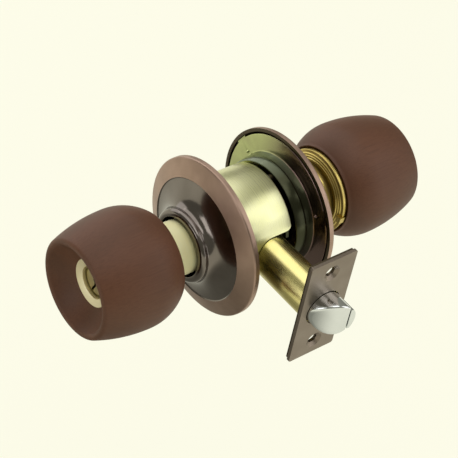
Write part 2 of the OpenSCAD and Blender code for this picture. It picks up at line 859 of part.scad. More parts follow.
// Turn button: a disc inside the ring, a thumb bar across it and a shaft through the wood
module turn_button() {
    disc_from = ring_back + 0.1;
    disc_top = ring_front - ring_dip;
    edge = 0.4;
    bar_w = 3.6;
    bar_l = 2 * button_r - bar_w - 0.6;
    bar_h = button_h + 1;
    color(brass) inside_frame() translate([0, 0, inside_reach]) union() {
        turned([
            [0, disc_from], [button_r, disc_from], [button_r, disc_top - edge],
            [button_r - edge, disc_top], [0, disc_top]]);
        translate([-bar_l / 2, -bar_w / 2, disc_top - 1]) cube([bar_l, bar_w, bar_h]);
        for (side = [-1, 1]) translate([side * bar_l / 2, 0, disc_top - 1])
            cylinder(r = bar_w / 2, h = bar_h);
        translate([0, 0, spindle_depth + 1]) cylinder(r = button_shaft_r, h = disc_from - spindle_depth);
    }
}

module lock_bar() {
    bar_w = 4.6;
    bar_end = inside_face + inside_reach + spindle_depth + 1;
    color(steel) inward_axis() translate([-tail_t / 2, -bar_w / 2, tail_near])
        cube([tail_t, bar_w, bar_end - tail_near]);
}

outside_knob();
outside_ferrule();
key_ring();
cylinder_body();
key_plug();
key_pins();
driver_pins();
pin_springs();
plug_tail();
outside_spindle();
outside_catch();
outside_catch_spring();
outside_rose();
outside_rose_liner();
outside_hub();
outside_end_cap();
chassis_drum();
chassis_bridges();
inside_end_cap();
inside_hub();
retractor();
retractor_springs();
latch_tube();
latch_tube_cap();
latch_bolt();
latch_tail();
latch_spring();
deadlatch_plunger();
plunger_spring();
latch_backplate();
latch_faceplate();
mounting_plate();
through_screws();
inside_rose();
inside_spindle();
inside_catch();
inside_catch_spring();
inside_ferrule();
inside_knob();
button_ring();
turn_button();
lock_bar();
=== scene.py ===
"""Dresses the bored door knob lock: wooden knobs, plated roses, drum chassis and side latch."""

import logging
import math
from collections.abc import Callable
from dataclasses import dataclass
from enum import Enum
from functools import cache
from typing import Any, ClassVar, Protocol

import bmesh
import bpy
from mathutils import Matrix, Vector


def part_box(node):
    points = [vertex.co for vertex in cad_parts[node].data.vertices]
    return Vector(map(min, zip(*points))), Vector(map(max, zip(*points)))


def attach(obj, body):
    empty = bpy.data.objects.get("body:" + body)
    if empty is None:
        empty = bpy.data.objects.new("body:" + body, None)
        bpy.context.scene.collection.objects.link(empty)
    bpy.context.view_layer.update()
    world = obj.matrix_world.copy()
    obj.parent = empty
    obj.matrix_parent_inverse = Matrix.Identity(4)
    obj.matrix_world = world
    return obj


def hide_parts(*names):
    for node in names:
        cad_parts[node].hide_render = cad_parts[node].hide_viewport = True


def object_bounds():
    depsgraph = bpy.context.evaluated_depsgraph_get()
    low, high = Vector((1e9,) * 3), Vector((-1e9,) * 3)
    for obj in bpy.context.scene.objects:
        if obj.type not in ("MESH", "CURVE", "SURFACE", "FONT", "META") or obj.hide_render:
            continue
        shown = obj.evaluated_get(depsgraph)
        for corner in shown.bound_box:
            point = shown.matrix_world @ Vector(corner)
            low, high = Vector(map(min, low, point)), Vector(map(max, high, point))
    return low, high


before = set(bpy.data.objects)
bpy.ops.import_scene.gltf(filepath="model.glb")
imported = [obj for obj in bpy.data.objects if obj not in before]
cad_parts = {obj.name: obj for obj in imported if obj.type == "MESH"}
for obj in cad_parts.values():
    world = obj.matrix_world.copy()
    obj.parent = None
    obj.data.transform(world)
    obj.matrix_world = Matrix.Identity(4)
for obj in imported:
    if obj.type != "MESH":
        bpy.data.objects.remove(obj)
CAD_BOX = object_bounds()

MM = 0.001
# A radius smaller than this is on the turning axis.
ON_AXIS = 1e-6
# Stretches round a turned piece, and round a rose, whose cove mirrors.
TURN_STEPS = 160
FINE_TURN_STEPS = 256
# Angles past which an edge is shaded sharp, and past which its metal is broken.
SMOOTH_DEGREES = 32.0
BREAK_DEGREES = 34.0
# How far the direction of broad faces wins over that of narrow ones.
FLAT_WEIGHT = 80
# The most that a rounding takes of the shorter side at its corner.
CORNER_SHARE = 0.45
# How far a cutting solid reaches past the piece that it cuts, in millimetres.
PAST = 1.0
# The lock's pins, and how far apart they stand.
PINS = 5
PIN_PITCH = 3.8

Point = tuple[float, float]
Profile = list[Point]
Range = tuple[float, float]
Place = tuple[float, float, float]
Mesh = bmesh.types.BMesh
Piece = bpy.types.Object
Tree = bpy.types.NodeTree
Socket = bpy.types.NodeSocket

log = logging.getLogger("door_knob_lock")


@dataclass(frozen=True)
class Span:
    """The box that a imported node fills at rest, in millimetres."""

    low: Vector
    high: Vector

    @staticmethod
    def of(node: str) -> "Span":
        """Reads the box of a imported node."""
        low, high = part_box(node)
        return Span(Vector(low) / MM, Vector(high) / MM)

    @property
    def size(self) -> Vector:
        """The lengths of the box's three sides."""
        return self.high - self.low


def shift(x: float, y: float, z: float) -> Matrix:
    """Moves by the given millimetres."""
    return Matrix.Translation((x, y, z))


def turned(degrees: float, axis: str) -> Matrix:
    """Turns round the axis that is named."""
    return Matrix.Rotation(math.radians(degrees), 4, axis)


class Side(Enum):
    """The two faces of the door."""

    OUTSIDE = "outside"
    INSIDE = "inside"

    def node(self, piece: str) -> str:
        """The name of this side's node for a piece."""
        return f"{self.value}_{piece}"

    def near_end(self, piece: str) -> float:
        """Height along Y of the end of this side's piece that is nearer to the door."""
        box = Span.of(self.node(piece))
        return box.high.y if self is Side.OUTSIDE else box.low.y

    @property
    def body(self) -> str:
        """The body that this side's knob turns with."""
        return f"{self.value}_knob"

    @property
    def door_face(self) -> float:
        """Height along Y of the door's face under this side's rose."""
        return self.near_end("rose")

    @property
    def knob_back(self) -> float:
        """Height along Y of the back plane of this side's knob."""
        return self.near_end("knob")

    def seat(self, start: float) -> Matrix:
        """Places a turned piece so that its local z starts at a height along Y and runs off the door."""
        return shift(0, start, 0) @ turned(90 if self is Side.OUTSIDE else -90, "X")


def latch_seat(start: float = 0.0) -> Matrix:
    """Places a piece so that its local z runs along +X from the given place."""
    return shift(start, 0, 0) @ turned(90, "Y")


def side_on() -> Matrix:
    """Turns a flat outline's x and y into the row's Y and Z, with its thickness along X."""
    return Matrix(((0, 0, 1, 0), (1, 0, 0, 0), (0, 1, 0, 0), (0, 0, 0, 1)))


def off_axis(spot: Vector) -> float:
    """Distance of a spot from the axis of the knobs."""
    return math.hypot(spot.x, spot.z)


def rectangle(left: float, right: float, low: float, high: float) -> Profile:
    """A plain outline, which is also the section of a rod or a tube."""
    return [(left, low), (right, low), (right, high), (left, high)]


def arc(
    centre: Point, wide: float, start: float, stop: float, steps: int, tall: float = 0.0
) -> Profile:
    """Points from start to stop degrees on a circle, or on an ellipse if its half height is given."""
    angles = [math.radians(start + (stop - start) * i / steps) for i in range(steps + 1)]
    return [(centre[0] + wide * math.cos(a), centre[1] + (tall or wide) * math.sin(a)) for a in angles]


def rounded(points: Profile, radius: float, steps: int = 4, least: float = 24.0) -> Profile:
    """Rounds the corners of a closed outline, apart from those on the turning axis.

    Args:
        points: The outline.
        radius: The radius of each rounding, made smaller where a corner has no room for it.
        steps: How many stretches each rounding is split into.
        least: Corners that turn by fewer degrees than this are left alone.

    Returns:
        The outline with its corners rounded.
    """
    result: Profile = []
    for index, point in enumerate(points):
        here = Vector(point)
        back, ahead = (Vector(points[i % len(points)]) - here for i in (index - 1, index + 1))
        opening = back.angle(ahead, math.pi)
        if math.degrees(math.pi - opening) < least or abs(point[0]) < ON_AXIS:
            result.append(point)
            continue
        room = CORNER_SHARE * min(back.length, ahead.length)
        reach = min(radius / math.tan(opening / 2), room)
        true_radius = reach * math.tan(opening / 2)
        inward = (back.normalized() + ahead.normalized()).normalized()
        middle = here + inward * (true_radius / math.sin(opening / 2))
        start = here + back.normalized() * reach - middle
        stop = here + ahead.normalized() * reach - middle
        first = math.atan2(start.y, start.x)
        swing = (math.atan2(stop.y, stop.x) - first + math.pi) % (2 * math.pi) - math.pi
        result += arc(
            (middle.x, middle.y), true_radius, math.degrees(first), math.degrees(first + swing), steps)
    return result


def skin(rings: list[list[Place]], closed: bool = False) -> Mesh:
    """Stretches a skin over rings of points, as a fan where a ring is a single point.

    Args:
        rings: The rings in order, in millimetres.
        closed: Whether the last ring meets the first one. If not, whole rings at the ends are capped.

    Returns:
        The closed solid as a mesh being edited.
    """
    mesh = bmesh.new()
    knots = [[mesh.verts.new(spot) for spot in ring] for ring in rings]
    for ring in [] if closed else [knots[0], knots[-1]]:
        if len(ring) > 1:
            mesh.faces.new(ring)
    for ring, after in zip(knots, knots[1:] + knots[:1] if closed else knots[1:]):
        count = max(len(ring), len(after))
        for k in range(count if count > 1 else 0):
            n = (k + 1) % count
            corners = [ring[k % len(ring)], ring[n % len(ring)],
                       after[n % len(after)], after[k % len(after)]]
            mesh.faces.new(list(dict.fromkeys(corners)))
    bmesh.ops.recalc_face_normals(mesh, faces=mesh.faces)
    return mesh


def circle(radius: float, height: float, steps: int) -> list[Place]:
    """Points on a level circle round local z, or the one point of a circle without a radius."""
    angles = [2 * math.pi * k / steps for k in range(1 if radius < ON_AXIS else steps)]
    return [(radius * math.cos(a), radius * math.sin(a), height) for a in angles]


def lathe(profile: Profile, steps: int = TURN_STEPS) -> Mesh:
    """Turns a closed outline of radius and height into a closed solid round local z."""
    return skin([circle(radius, height, steps) for radius, height in profile], closed=True)


def rod(radius: float, low: float, high: float, steps: int) -> Mesh:
    """A plain rod round local z."""
    return lathe(rectangle(0, radius, low, high), steps)


def prism(outline: Profile, low: float, high: float) -> Mesh:
    """Gives a flat outline a thickness, from low to high along local z."""
    return skin([[(x, y, level) for x, y in outline] for level in (low, high)])


def new_object(name: str, data: bpy.types.ID) -> Piece:
    """Makes an object in the scene.

    Args:
        name: Its name.
        data: Its mesh, lamp or lens.

    Returns:
        The object.
    """
    made = bpy.data.objects.new(name, data)
    bpy.context.scene.collection.objects.link(made)
    return made


def to_object(mesh: Mesh, name: str, place: Matrix) -> Piece:
    """Turns an edited mesh into an object in metres that sits at the origin.

    Args:
        mesh: The mesh in millimetres, which is used up.
        name: The object's name.
        place: The matrix from the piece's own millimetres to the row's.

    Returns:
        The new object, with its place in its mesh.
    """
    data = bpy.data.meshes.new(name)
    mesh.transform(Matrix.Scale(MM, 4) @ place)
    mesh.to_mesh(data)
    mesh.free()
    return new_object(name, data)


def bake_modifiers(piece: Piece) -> None:
    """Turns a piece's modifiers into a plain mesh and removes them.

    Args:
        piece: The piece.
    """
    bpy.context.view_layer.update()
    graph = bpy.context.evaluated_depsgraph_get()
    result = bpy.data.meshes.new_from_object(piece.evaluated_get(graph))
    old = piece.data
    piece.modifiers.clear()
    piece.data = result
    bpy.data.meshes.remove(old)


class Way(Enum):
    """What one solid does to another."""

    CUT = "DIFFERENCE"
    JOIN = "UNION"
    SLICE = "INTERSECT"


def combine(piece: Piece, way: Way, tool: Mesh, place: Matrix) -> None:
    """Lets a solid work on a piece.

    Args:
        piece: The piece.
        way: What the solid does to it.
        tool: The solid in millimetres, which is used up.
        place: The matrix from the solid's own millimetres to the row's.
    """
    other = to_object(tool, "tool", place)
    boolean = piece.modifiers.new("combine", "BOOLEAN")
    boolean.operation = way.value
    boolean.solver = "EXACT"
    boolean.object = other
    bake_modifiers(piece)
    data = other.data
    bpy.data.objects.remove(other)
    bpy.data.meshes.remove(data)


def soften(piece: Piece, width: float) -> None:
    """Breaks a piece's sharp edges as a tumbler or a file does.

    Args:
        piece: The piece.
        width: The width of the broken edge in millimetres.
    """
    bevel = piece.modifiers.new("edges", "BEVEL")
    bevel.width = width * MM
    bevel.segments = 2
    bevel.limit_method = "ANGLE"
    bevel.angle_limit = math.radians(BREAK_DEGREES)
    bevel.use_clamp_overlap = True
    bake_modifiers(piece)
    mesh = bmesh.new()
    mesh.from_mesh(piece.data)
    bmesh.ops.dissolve_degenerate(mesh, dist=1e-7, edges=mesh.edges)
    mesh.to_mesh(piece.data)
    mesh.free()


def hand_over(piece: Piece, body: str, node: str) -> None:
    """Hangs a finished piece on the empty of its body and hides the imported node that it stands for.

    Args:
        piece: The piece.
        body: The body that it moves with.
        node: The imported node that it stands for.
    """
    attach(piece, body)
    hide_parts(node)
    log.info("%s rides on %s, %d faces", piece.name, body, len(piece.data.polygons))


def linear(code: str) -> tuple[float, float, float, float]:
    """Turns an sRGB hex colour into the linear colour that a shader takes."""
    channels = [int(code[i:i + 2], 16) / 255 for i in (1, 3, 5)]
    return (*(c / 12.92 if c <= 0.04045 else ((c + 0.055) / 1.055) ** 2.4 for c in channels), 1.0)


def empty_tree(owner: bpy.types.Material | bpy.types.World) -> Tree:
    """Gives a material or a world a tree without nodes.

    Args:
        owner: The material or the world.

    Returns:
        Its tree.
    """
    owner.use_nodes = True
    owner.node_tree.nodes.clear()
    return owner.node_tree


def add(tree: Tree, kind: str, inputs: dict[Any, Any] | None = None, **settings: Any) -> Any:
    """Adds a node with its settings and links.

    Args:
        tree: The tree that gets the node.
        kind: The node's type name.
        inputs: Socket name or number to a value, or to the output socket to link from.
        settings: The node's own properties.

    Returns:
        The new node's outputs.
    """
    node = tree.nodes.new(kind)
    for name, value in settings.items():
        setattr(node, name, value)
    for key, value in (inputs or {}).items():
        if isinstance(value, bpy.types.NodeSocket):
            tree.links.new(value, node.inputs[key])
        else:
            node.inputs[key].default_value = value
    return node.outputs


def own_place(tree: Tree) -> Socket:
    """Adds the piece's own coordinates, in metres."""
    return add(tree, "ShaderNodeTexCoord")["Object"]


def ramp(
    tree: Tree, value: Socket, given: Range, wanted: Range = (0.0, 1.0), soft: bool = False
) -> Socket:
    """Turns a value's given range into the wanted one.

    Args:
        tree: The tree that gets the node.
        value: The value.
        given: The range that the value has.
        wanted: The range that it gets.
        soft: Whether it eases in and out at the ends, and doesn't keep an even pace.

    Returns:
        The new value.
    """
    return add(tree, "ShaderNodeMapRange", {
        "Value": value, "From Min": given[0], "From Max": given[1], "To Min": wanted[0],
        "To Max": wanted[1]}, interpolation_type="SMOOTHSTEP" if soft else "LINEAR")[0]


def sum_up(tree: Tree, operation: str, first: Any, second: Any) -> Socket:
    """Works out one value from two."""
    return add(tree, "ShaderNodeMath", {0: first, 1: second}, operation=operation)[0]


def length(tree: Tree, vector: Socket) -> Socket:
    """Measures a vector."""
    return add(tree, "ShaderNodeVectorMath", {0: vector}, operation="LENGTH")["Value"]


def blend(tree: Tree, share: Any, first: Any, second: Any) -> Socket:
    """Mixes a share of the second colour into the first."""
    return add(tree, "ShaderNodeMix", {0: share, 6: first, 7: second}, data_type="RGBA")[2]


def noise(tree: Tree, place: Socket, scale: float, detail: float, roughness: float = 0.5) -> Any:
    """Adds a noise texture and gives its outputs."""
    return add(tree, "ShaderNodeTexNoise", {
        "Vector": place, "Scale": scale, "Detail": detail, "Roughness": roughness})


class Marks(Enum):
    """The way that a surface's tool marks run: the axes across them, and the axis of their circles."""

    TURNED_ON_Y = ("X", "Z", "Y")
    DRAWN_ON_X = ("Y", "Z", "")
    ROLLED_ON_Z = ("X", "Y", "")
    EVEN = ("", "", "")

    def vector(self, tree: Tree, per_metre: float) -> Socket:
        """Makes the coordinate that a noise reads, long along the marks and short across them.

        Args:
            tree: The material's tree.
            per_metre: How many marks there are in a metre.

        Returns:
            The socket that carries the coordinate.
        """
        scaled = add(tree, "ShaderNodeVectorMath", {0: own_place(tree), 1: [per_metre] * 3},
                     operation="MULTIPLY")[0]
        if self is Marks.EVEN:
            return scaled
        first, second, along = self.value
        axes = add(tree, "ShaderNodeSeparateXYZ", {0: scaled})
        flat = add(tree, "ShaderNodeCombineXYZ", {"X": axes[first], "Y": axes[second]})[0]
        if not along:
            return flat
        return add(tree, "ShaderNodeCombineXYZ", {"X": length(tree, flat), "Y": axes[along]})[0]


@dataclass(frozen=True)
class Metal:
    """A plated or bare metal with its tool marks and its slow changes of tone."""

    name: str
    colour: str
    second: str
    roughness: float
    # Coarser than real tool marks, which would be too fine to show.
    mark_mm: float
    mark_depth: float
    marks: Marks = Marks.TURNED_ON_Y
    clouds: float = 0.5
    # The stretch along X over which the second colour takes over, if it does, painting one side darker for
    # its shade and dark reflections.
    painted_dark_turn_mm: Range | None = None
    cloud_mm: float = 9.0
    cloud_range: Range = (0.35, 0.65)
    mark_range: Range = (0.3, 0.7)
    uneven: float = 0.18
    bump_mm: float = 0.02

    def surface(self, tree: Tree) -> dict[str, Any]:
        """Adds the metal's nodes.

        Args:
            tree: The material's tree.

        Returns:
            The shader's inputs.
        """
        across_marks = self.marks.vector(tree, 1 / (self.mark_mm * MM))
        lines = noise(tree, across_marks, scale=1.0, detail=3.0, roughness=0.6)[0]
        place = own_place(tree)
        clouds = noise(tree, place, scale=1 / (self.cloud_mm * MM), detail=2.0)[0]
        share = ramp(tree, clouds, self.cloud_range, (0.0, self.clouds))
        # Along X the second colour takes over: painted shade and dark reflection on one side.
        if self.painted_dark_turn_mm:
            across = add(tree, "ShaderNodeSeparateXYZ", {0: place})["X"]
            turn = ramp(tree, across, (self.painted_dark_turn_mm[0] * MM, self.painted_dark_turn_mm[1] * MM))
            share = sum_up(tree, "MAXIMUM", share, turn)
        return {
            "Base Color": blend(tree, share, linear(self.colour), linear(self.second)),
            "Metallic": 1.0,
            "Roughness": ramp(tree, lines, self.mark_range, (
                self.roughness * (1 - self.uneven), self.roughness * (1 + self.uneven))),
            "Normal": add(tree, "ShaderNodeBump", {
                "Height": lines, "Strength": self.mark_depth, "Distance": self.bump_mm * MM})[0],
        }


@dataclass(frozen=True)
class StainedWood:
    """Turned beech, stained dark and sealed, with its fibres along the knob."""

    name: str = "stained_beech"
    stain: str = "#603c27"
    shadow: str = "#51301e"
    flare: str = "#68412b"
    roughness: float = 0.54
    index: float = 1.45
    pith: Place = (0.034, 0.0, 0.021)
    lean: Place = (0.05, 0.0, 0.04)
    warp: float = 0.012
    warps_per_metre: float = 22.0
    ring_mm: float = 52.0
    # Coarser than beech's own fibres, which would be too fine to show.
    fibre_mm: float = 0.55
    fibres_along: float = 42.0
    pore_range: Range = (0.42, 0.72)
    pores: float = 0.55
    pore_depth: float = 0.06
    bump_mm: float = 0.05

    def surface(self, tree: Tree) -> dict[str, Any]:
        """Adds the wood's nodes.

        Args:
            tree: The material's tree.

        Returns:
            The shader's inputs.
        """
        place = own_place(tree)
        pith = add(tree, "ShaderNodeMapping", {
            "Vector": place, "Location": self.pith, "Rotation": self.lean})[0]
        warp = noise(tree, place, scale=self.warps_per_metre, detail=2.0)["Color"]
        bent = add(tree, "ShaderNodeMix", {0: self.warp, 4: pith, 5: warp}, data_type="VECTOR")[1]
        rings = add(tree, "ShaderNodeTexWave", {
            "Vector": bent, "Scale": 1 / (self.ring_mm * MM), "Distortion": 1.6, "Detail": 2.0,
            "Detail Scale": 1.4}, wave_type="RINGS", rings_direction="Y")["Fac"]
        fibre = 1 / (self.fibre_mm * MM)
        long_way = add(tree, "ShaderNodeMapping", {
            "Vector": place, "Scale": (fibre, self.fibres_along, fibre)})[0]
        fibres = noise(tree, long_way, scale=1.0, detail=4.0, roughness=0.62)[0]
        broad = blend(tree, rings, linear(self.stain), linear(self.flare))
        pores = ramp(tree, fibres, self.pore_range, (0.0, self.pores))
        return {
            "Base Color": blend(tree, pores, broad, linear(self.shadow)),
            "Roughness": self.roughness,
            "IOR": self.index,
            "Normal": add(tree, "ShaderNodeBump", {
                "Height": fibres, "Strength": self.pore_depth, "Distance": self.bump_mm * MM})[0],
        }


Finish = Metal | StainedWood

# Sealed dark beech: a satin brown with a broad soft highlight and hardly any grain.
WOOD = StainedWood()
# Steel pressed, spun and plated with antiqued copper: satin, pinkish brown, fine circles.
COPPER = Metal("antique_copper", "#b09585", "#987f70", roughness=0.4, mark_mm=0.25, mark_depth=0.2)
# The polished cove of the same pressing, toned to black bronze: a grey-brown dark mirror.
GLOSS_BRONZE = Metal("black_bronze", "#7e7670", "#6e6760", roughness=0.16, mark_mm=0.5, mark_depth=0.04)
# The same plate on the faces against the door, painted dark brown as the shade that they lie in, so that
# metals beside them mirror dark: a brown that hardly mirrors.
BRONZE_PAINTED_SHADE = Metal("bronze_painted_shade", "#5f5443", "#4e4536", roughness=0.34, mark_mm=0.4, mark_depth=0.08)
# Drawn steel with yellow-green zinc: olive green, turning across the plate to a plum brown that is a
# painted dark reflection.
BRIGHT_ZINC = Metal(
    "zinc_painted_reflection", "#c2c98a", "#7c6760", roughness=0.2, mark_mm=0.4, mark_depth=0.06,
    clouds=0.25, painted_dark_turn_mm=(-22.0, 4.0))
# The same zinc on the cup's side: grey-green that turns to a dark olive towards +X, which is painted
# shade.
CUP_ZINC = Metal(
    "cup_zinc_painted_shade", "#7c846e", "#3f4030", roughness=0.2, mark_mm=0.4, mark_depth=0.06,
    clouds=0.25, painted_dark_turn_mm=(-16.0, 6.0))
# Zinc-plated steel inside the drum, painted dark as the shade that fills it, so that it hardly shows in
# its mouth.
ZINC_PAINTED_SHADE = Metal("zinc_painted_shade", "#4f513e", "#434534", roughness=0.35, mark_mm=0.4, mark_depth=0.06)
# Turned brass, darkened to a deep golden yellow as painted shade for the inside neck, which stands in the
# far rose's shade.
BRASS = Metal("turned_brass_painted_shade", "#d0ba70", "#bfa75a", roughness=0.3, mark_mm=0.3, mark_depth=0.12)
# The outside neck's brass, blasted matt, its colour raised almost to white as painted light: pale yellow,
# evenly bright.
BRASS_PAINTED_LIT = Metal("brass_painted_lit", "#fffcd8", "#fff7c8", roughness=0.8, mark_mm=0.3, mark_depth=0.12)
# The outside neck's hidden flange, painted dark brown like the wood it sits in as a painted reflection, so
# that the cove mirrors a dark knob.
FLANGE_PAINTED_DARK = Metal("flange_painted_dark", "#6b4d3f", "#5c4136", roughness=0.5, mark_mm=0.3, mark_depth=0.1)
# The rings in the middle of the knobs, blasted and left a little rough, their colour raised almost to
# white as painted light: pale beige brass.
SATIN_BRASS = Metal(
    "satin_brass_painted_light", "#fff6d4", "#f4e9c2", roughness=0.6, mark_mm=0.2, mark_depth=0.2, marks=Marks.EVEN)
# The plug's face, worn smoother by keys: a little darker than its ring.
PLUG_BRASS = Metal(
    "plug_brass", "#dcd0a0", "#cabd8c", roughness=0.36, mark_mm=0.2, mark_depth=0.2, marks=Marks.EVEN)
# The cylinder's nose round the plug, painted dark brown as the shade of the gap there: a dark line inside
# the pale ring.
NOSE_PAINTED_SHADE = Metal(
    "nose_painted_shade", "#7d7345", "#6c6239", roughness=0.4, mark_mm=0.3, mark_depth=0.1, marks=Marks.EVEN)
# The keyway's walls, painted dark brown as the shade inside the slot, so that the slot reads as a dark
# line.
KEYWAY_PAINTED_SHADE = Metal(
    "keyway_painted_shade", "#3d3423", "#2e2719", roughness=0.55, mark_mm=0.3, mark_depth=0.1, marks=Marks.EVEN)
# Steel with yellow zinc passivate: pale green-yellow, slightly uneven.
YELLOW_ZINC = Metal("yellow_zinc", "#e6e5b6", "#dcdca2", roughness=0.3, mark_mm=0.3, mark_depth=0.05)
# The same passivate on the drawn tube: a warmer yellow, smoother along its length.
ZINC_TUBE = Metal(
    "yellow_zinc_tube", "#ece09a", "#dfd282", roughness=0.26, mark_mm=0.3, mark_depth=0.05,
    marks=Marks.DRAWN_ON_X)
# Die-cast zinc under nickel and chrome: a neutral bright satin.
CHROME = Metal(
    "satin_chrome", "#e4e7e6", "#d8dcda", roughness=0.12, mark_mm=0.3, mark_depth=0.05,
    marks=Marks.DRAWN_ON_X)
# Rolled steel with antique copper plate, brushed up and down.
BRUSHED_COPPER = Metal(
    "brushed_copper", "#8f8377", "#7d7064", roughness=0.34, mark_mm=0.22, mark_depth=0.25,
    marks=Marks.ROLLED_ON_Z)
# Bright drawn wire and pressed steel.
STEEL = Metal(
    "bright_steel", "#b9b9b2", "#a6a69e", roughness=0.28, mark_mm=0.4, mark_depth=0.1, marks=Marks.EVEN)


@cache
def material_of(finish: Finish) -> bpy.types.Material:
    """Makes a finish's material once, for every piece that wears it.

    Args:
        finish: The finish.

    Returns:
        Its material, a Principled shader with the finish's own nodes.
    """
    material = bpy.data.materials.new(finish.name)
    tree = empty_tree(material)
    shader = add(tree, "ShaderNodeBsdfPrincipled", finish.surface(tree))
    add(tree, "ShaderNodeOutputMaterial", {"Surface": shader["BSDF"]})
    return material


def dress(piece: Piece, *finishes: Finish) -> None:
    """Puts finishes on a piece.

    Args:
        piece: The piece.
        finishes: Its finishes, one for each of its own slots.
    """
    piece.data.materials.clear()
    for finish in finishes:
        piece.data.materials.append(material_of(finish))


def complete(
    piece: Piece, body: str, slot: str, node: str, *finishes: Finish,
    pick: Callable[[Vector, Vector], int] | None = None, weighted: bool = False,
) -> None:
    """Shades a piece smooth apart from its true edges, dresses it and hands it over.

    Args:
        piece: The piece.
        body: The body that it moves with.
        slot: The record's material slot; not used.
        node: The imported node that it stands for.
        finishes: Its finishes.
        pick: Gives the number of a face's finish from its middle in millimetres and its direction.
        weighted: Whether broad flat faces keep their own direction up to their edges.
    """
    piece.data.shade_smooth()
    piece.data.set_sharp_from_angle(angle=math.radians(SMOOTH_DEGREES))
    if weighted:
        weigh = piece.modifiers.new("weigh", "WEIGHTED_NORMAL")
        weigh.keep_sharp = True
        weigh.weight = FLAT_WEIGHT
        bake_modifiers(piece)
    dress(piece, *finishes)
    for face in piece.data.polygons if pick else []:
        face.material_index = pick(face.center / MM, face.normal)
    hand_over(piece, body, node)


@dataclass
class TurnedKnob:
    """A wooden knob with its dish, and the sizes that its two sides share."""

    side: Side
    belly: float = 17.0
    back_curve: float = 24.0
    front_curve: float = 73.5
    edge_start: float = 41.0
    rim_round: float = 1.9
    edge_round: float = 0.35
    dish_centre: float = 55.8
    recess_gap: float = 0.25
    recess_chamfer: float = 0.9
    flange_seat: float = 3.0
    cylinder_pocket: float = 15.6
    cylinder_wall: float = 2.4
    shaft_bore: float = 2.7
    spindle_bore: float = 10.05
    spindle_end: float = 8.0
    ring_bore: float = 7.5
    ring_radius: float = 11.1
    ring_proud: float = 0.45
    ring_thick: float = 3.0
    ring_dip: float = 1.2
    ring_round: float = 0.3

    def __post_init__(self) -> None:
        """Works out the dish and the ring from the knob's own box."""
        box = Span.of(self.side.node("knob")).size
        self.radius = box.x / 2
        self.rim_height = box.y - self.rim_round
        self.recess = Span.of(self.side.node("ferrule")).size.z / 2 + self.recess_gap
        swing = self.front_curve - self.rim_round
        climb = self.rim_height - self.belly
        self.front_centre = self.radius - self.front_curve
        self.rim_centre = self.front_centre + math.sqrt(swing ** 2 - climb ** 2)
        self.rim_start = math.degrees(math.asin(climb / swing))
        drop = self.dish_centre - self.rim_height
        self.dish_radius = math.hypot(self.rim_centre, drop) - self.rim_round
        self.dish_start = math.degrees(math.atan2(drop, self.rim_centre))
        self.dish_end = math.degrees(math.acos(self.ring_radius / self.dish_radius))
        seat = self.dish_centre - math.sqrt(self.dish_radius ** 2 - self.ring_radius ** 2)
        self.ring_front = seat + self.ring_proud
        self.ring_back = self.ring_front - self.ring_thick

    def outline(self) -> Profile:
        """The knob's skin, from the recess of the neck round to the ring's seat.

        Returns:
            Its points, with height measured off the knob's back.
        """
        return (
            [(self.recess, self.recess_chamfer), (self.recess + self.recess_chamfer, 0.0)]
            + arc((self.radius - self.back_curve, self.belly), self.back_curve, -self.edge_start, 0,
                  steps=24)
            + arc((self.front_centre, self.belly), self.front_curve, 0, self.rim_start, steps=24)[1:]
            + arc((self.rim_centre, self.rim_height), self.rim_round, self.rim_start,
                  180 - self.dish_start, steps=14)[1:]
            + arc((0.0, self.dish_centre), self.dish_radius, -self.dish_start, -self.dish_end,
                  steps=24)[1:]
            + [(self.ring_radius, self.ring_back)]
        )

    def hollow(self) -> Profile:
        """The bored side of the section, from the ring's seat back to the neck's recess.

        Returns:
            Its points, with height measured off the knob's back.
        """
        if self.side is Side.OUTSIDE:
            bore, pocket, end = self.ring_bore, self.cylinder_pocket, self.ring_back - self.cylinder_wall
        else:
            bore, pocket, end = self.shaft_bore, self.spindle_bore, self.spindle_end
        return [
            (bore, self.ring_back), (bore, end), (pocket, end),
            (pocket, self.flange_seat), (self.recess, self.flange_seat),
        ]

    def build(self) -> None:
        """Turns the wooden knob and the dished brass ring in its middle."""
        name = self.side.node("knob")
        place = self.side.seat(self.side.knob_back)
        wood = lathe(rounded(self.outline() + self.hollow(), self.edge_round, least=30))
        complete(to_object(wood, f"{name}_wood", place), self.side.body, "knob_wood", name, WOOD)
        node = "key_ring" if self.side is Side.OUTSIDE else "button_ring"
        ring = lathe(rounded([
            (self.ring_bore, self.ring_back), (self.ring_radius, self.ring_back),
            (self.ring_radius, self.ring_front), (self.ring_bore, self.ring_front - self.ring_dip),
        ], self.ring_round))
        complete(to_object(ring, f"{node}_turned", place), self.side.body, "brass", node, SATIN_BRASS)


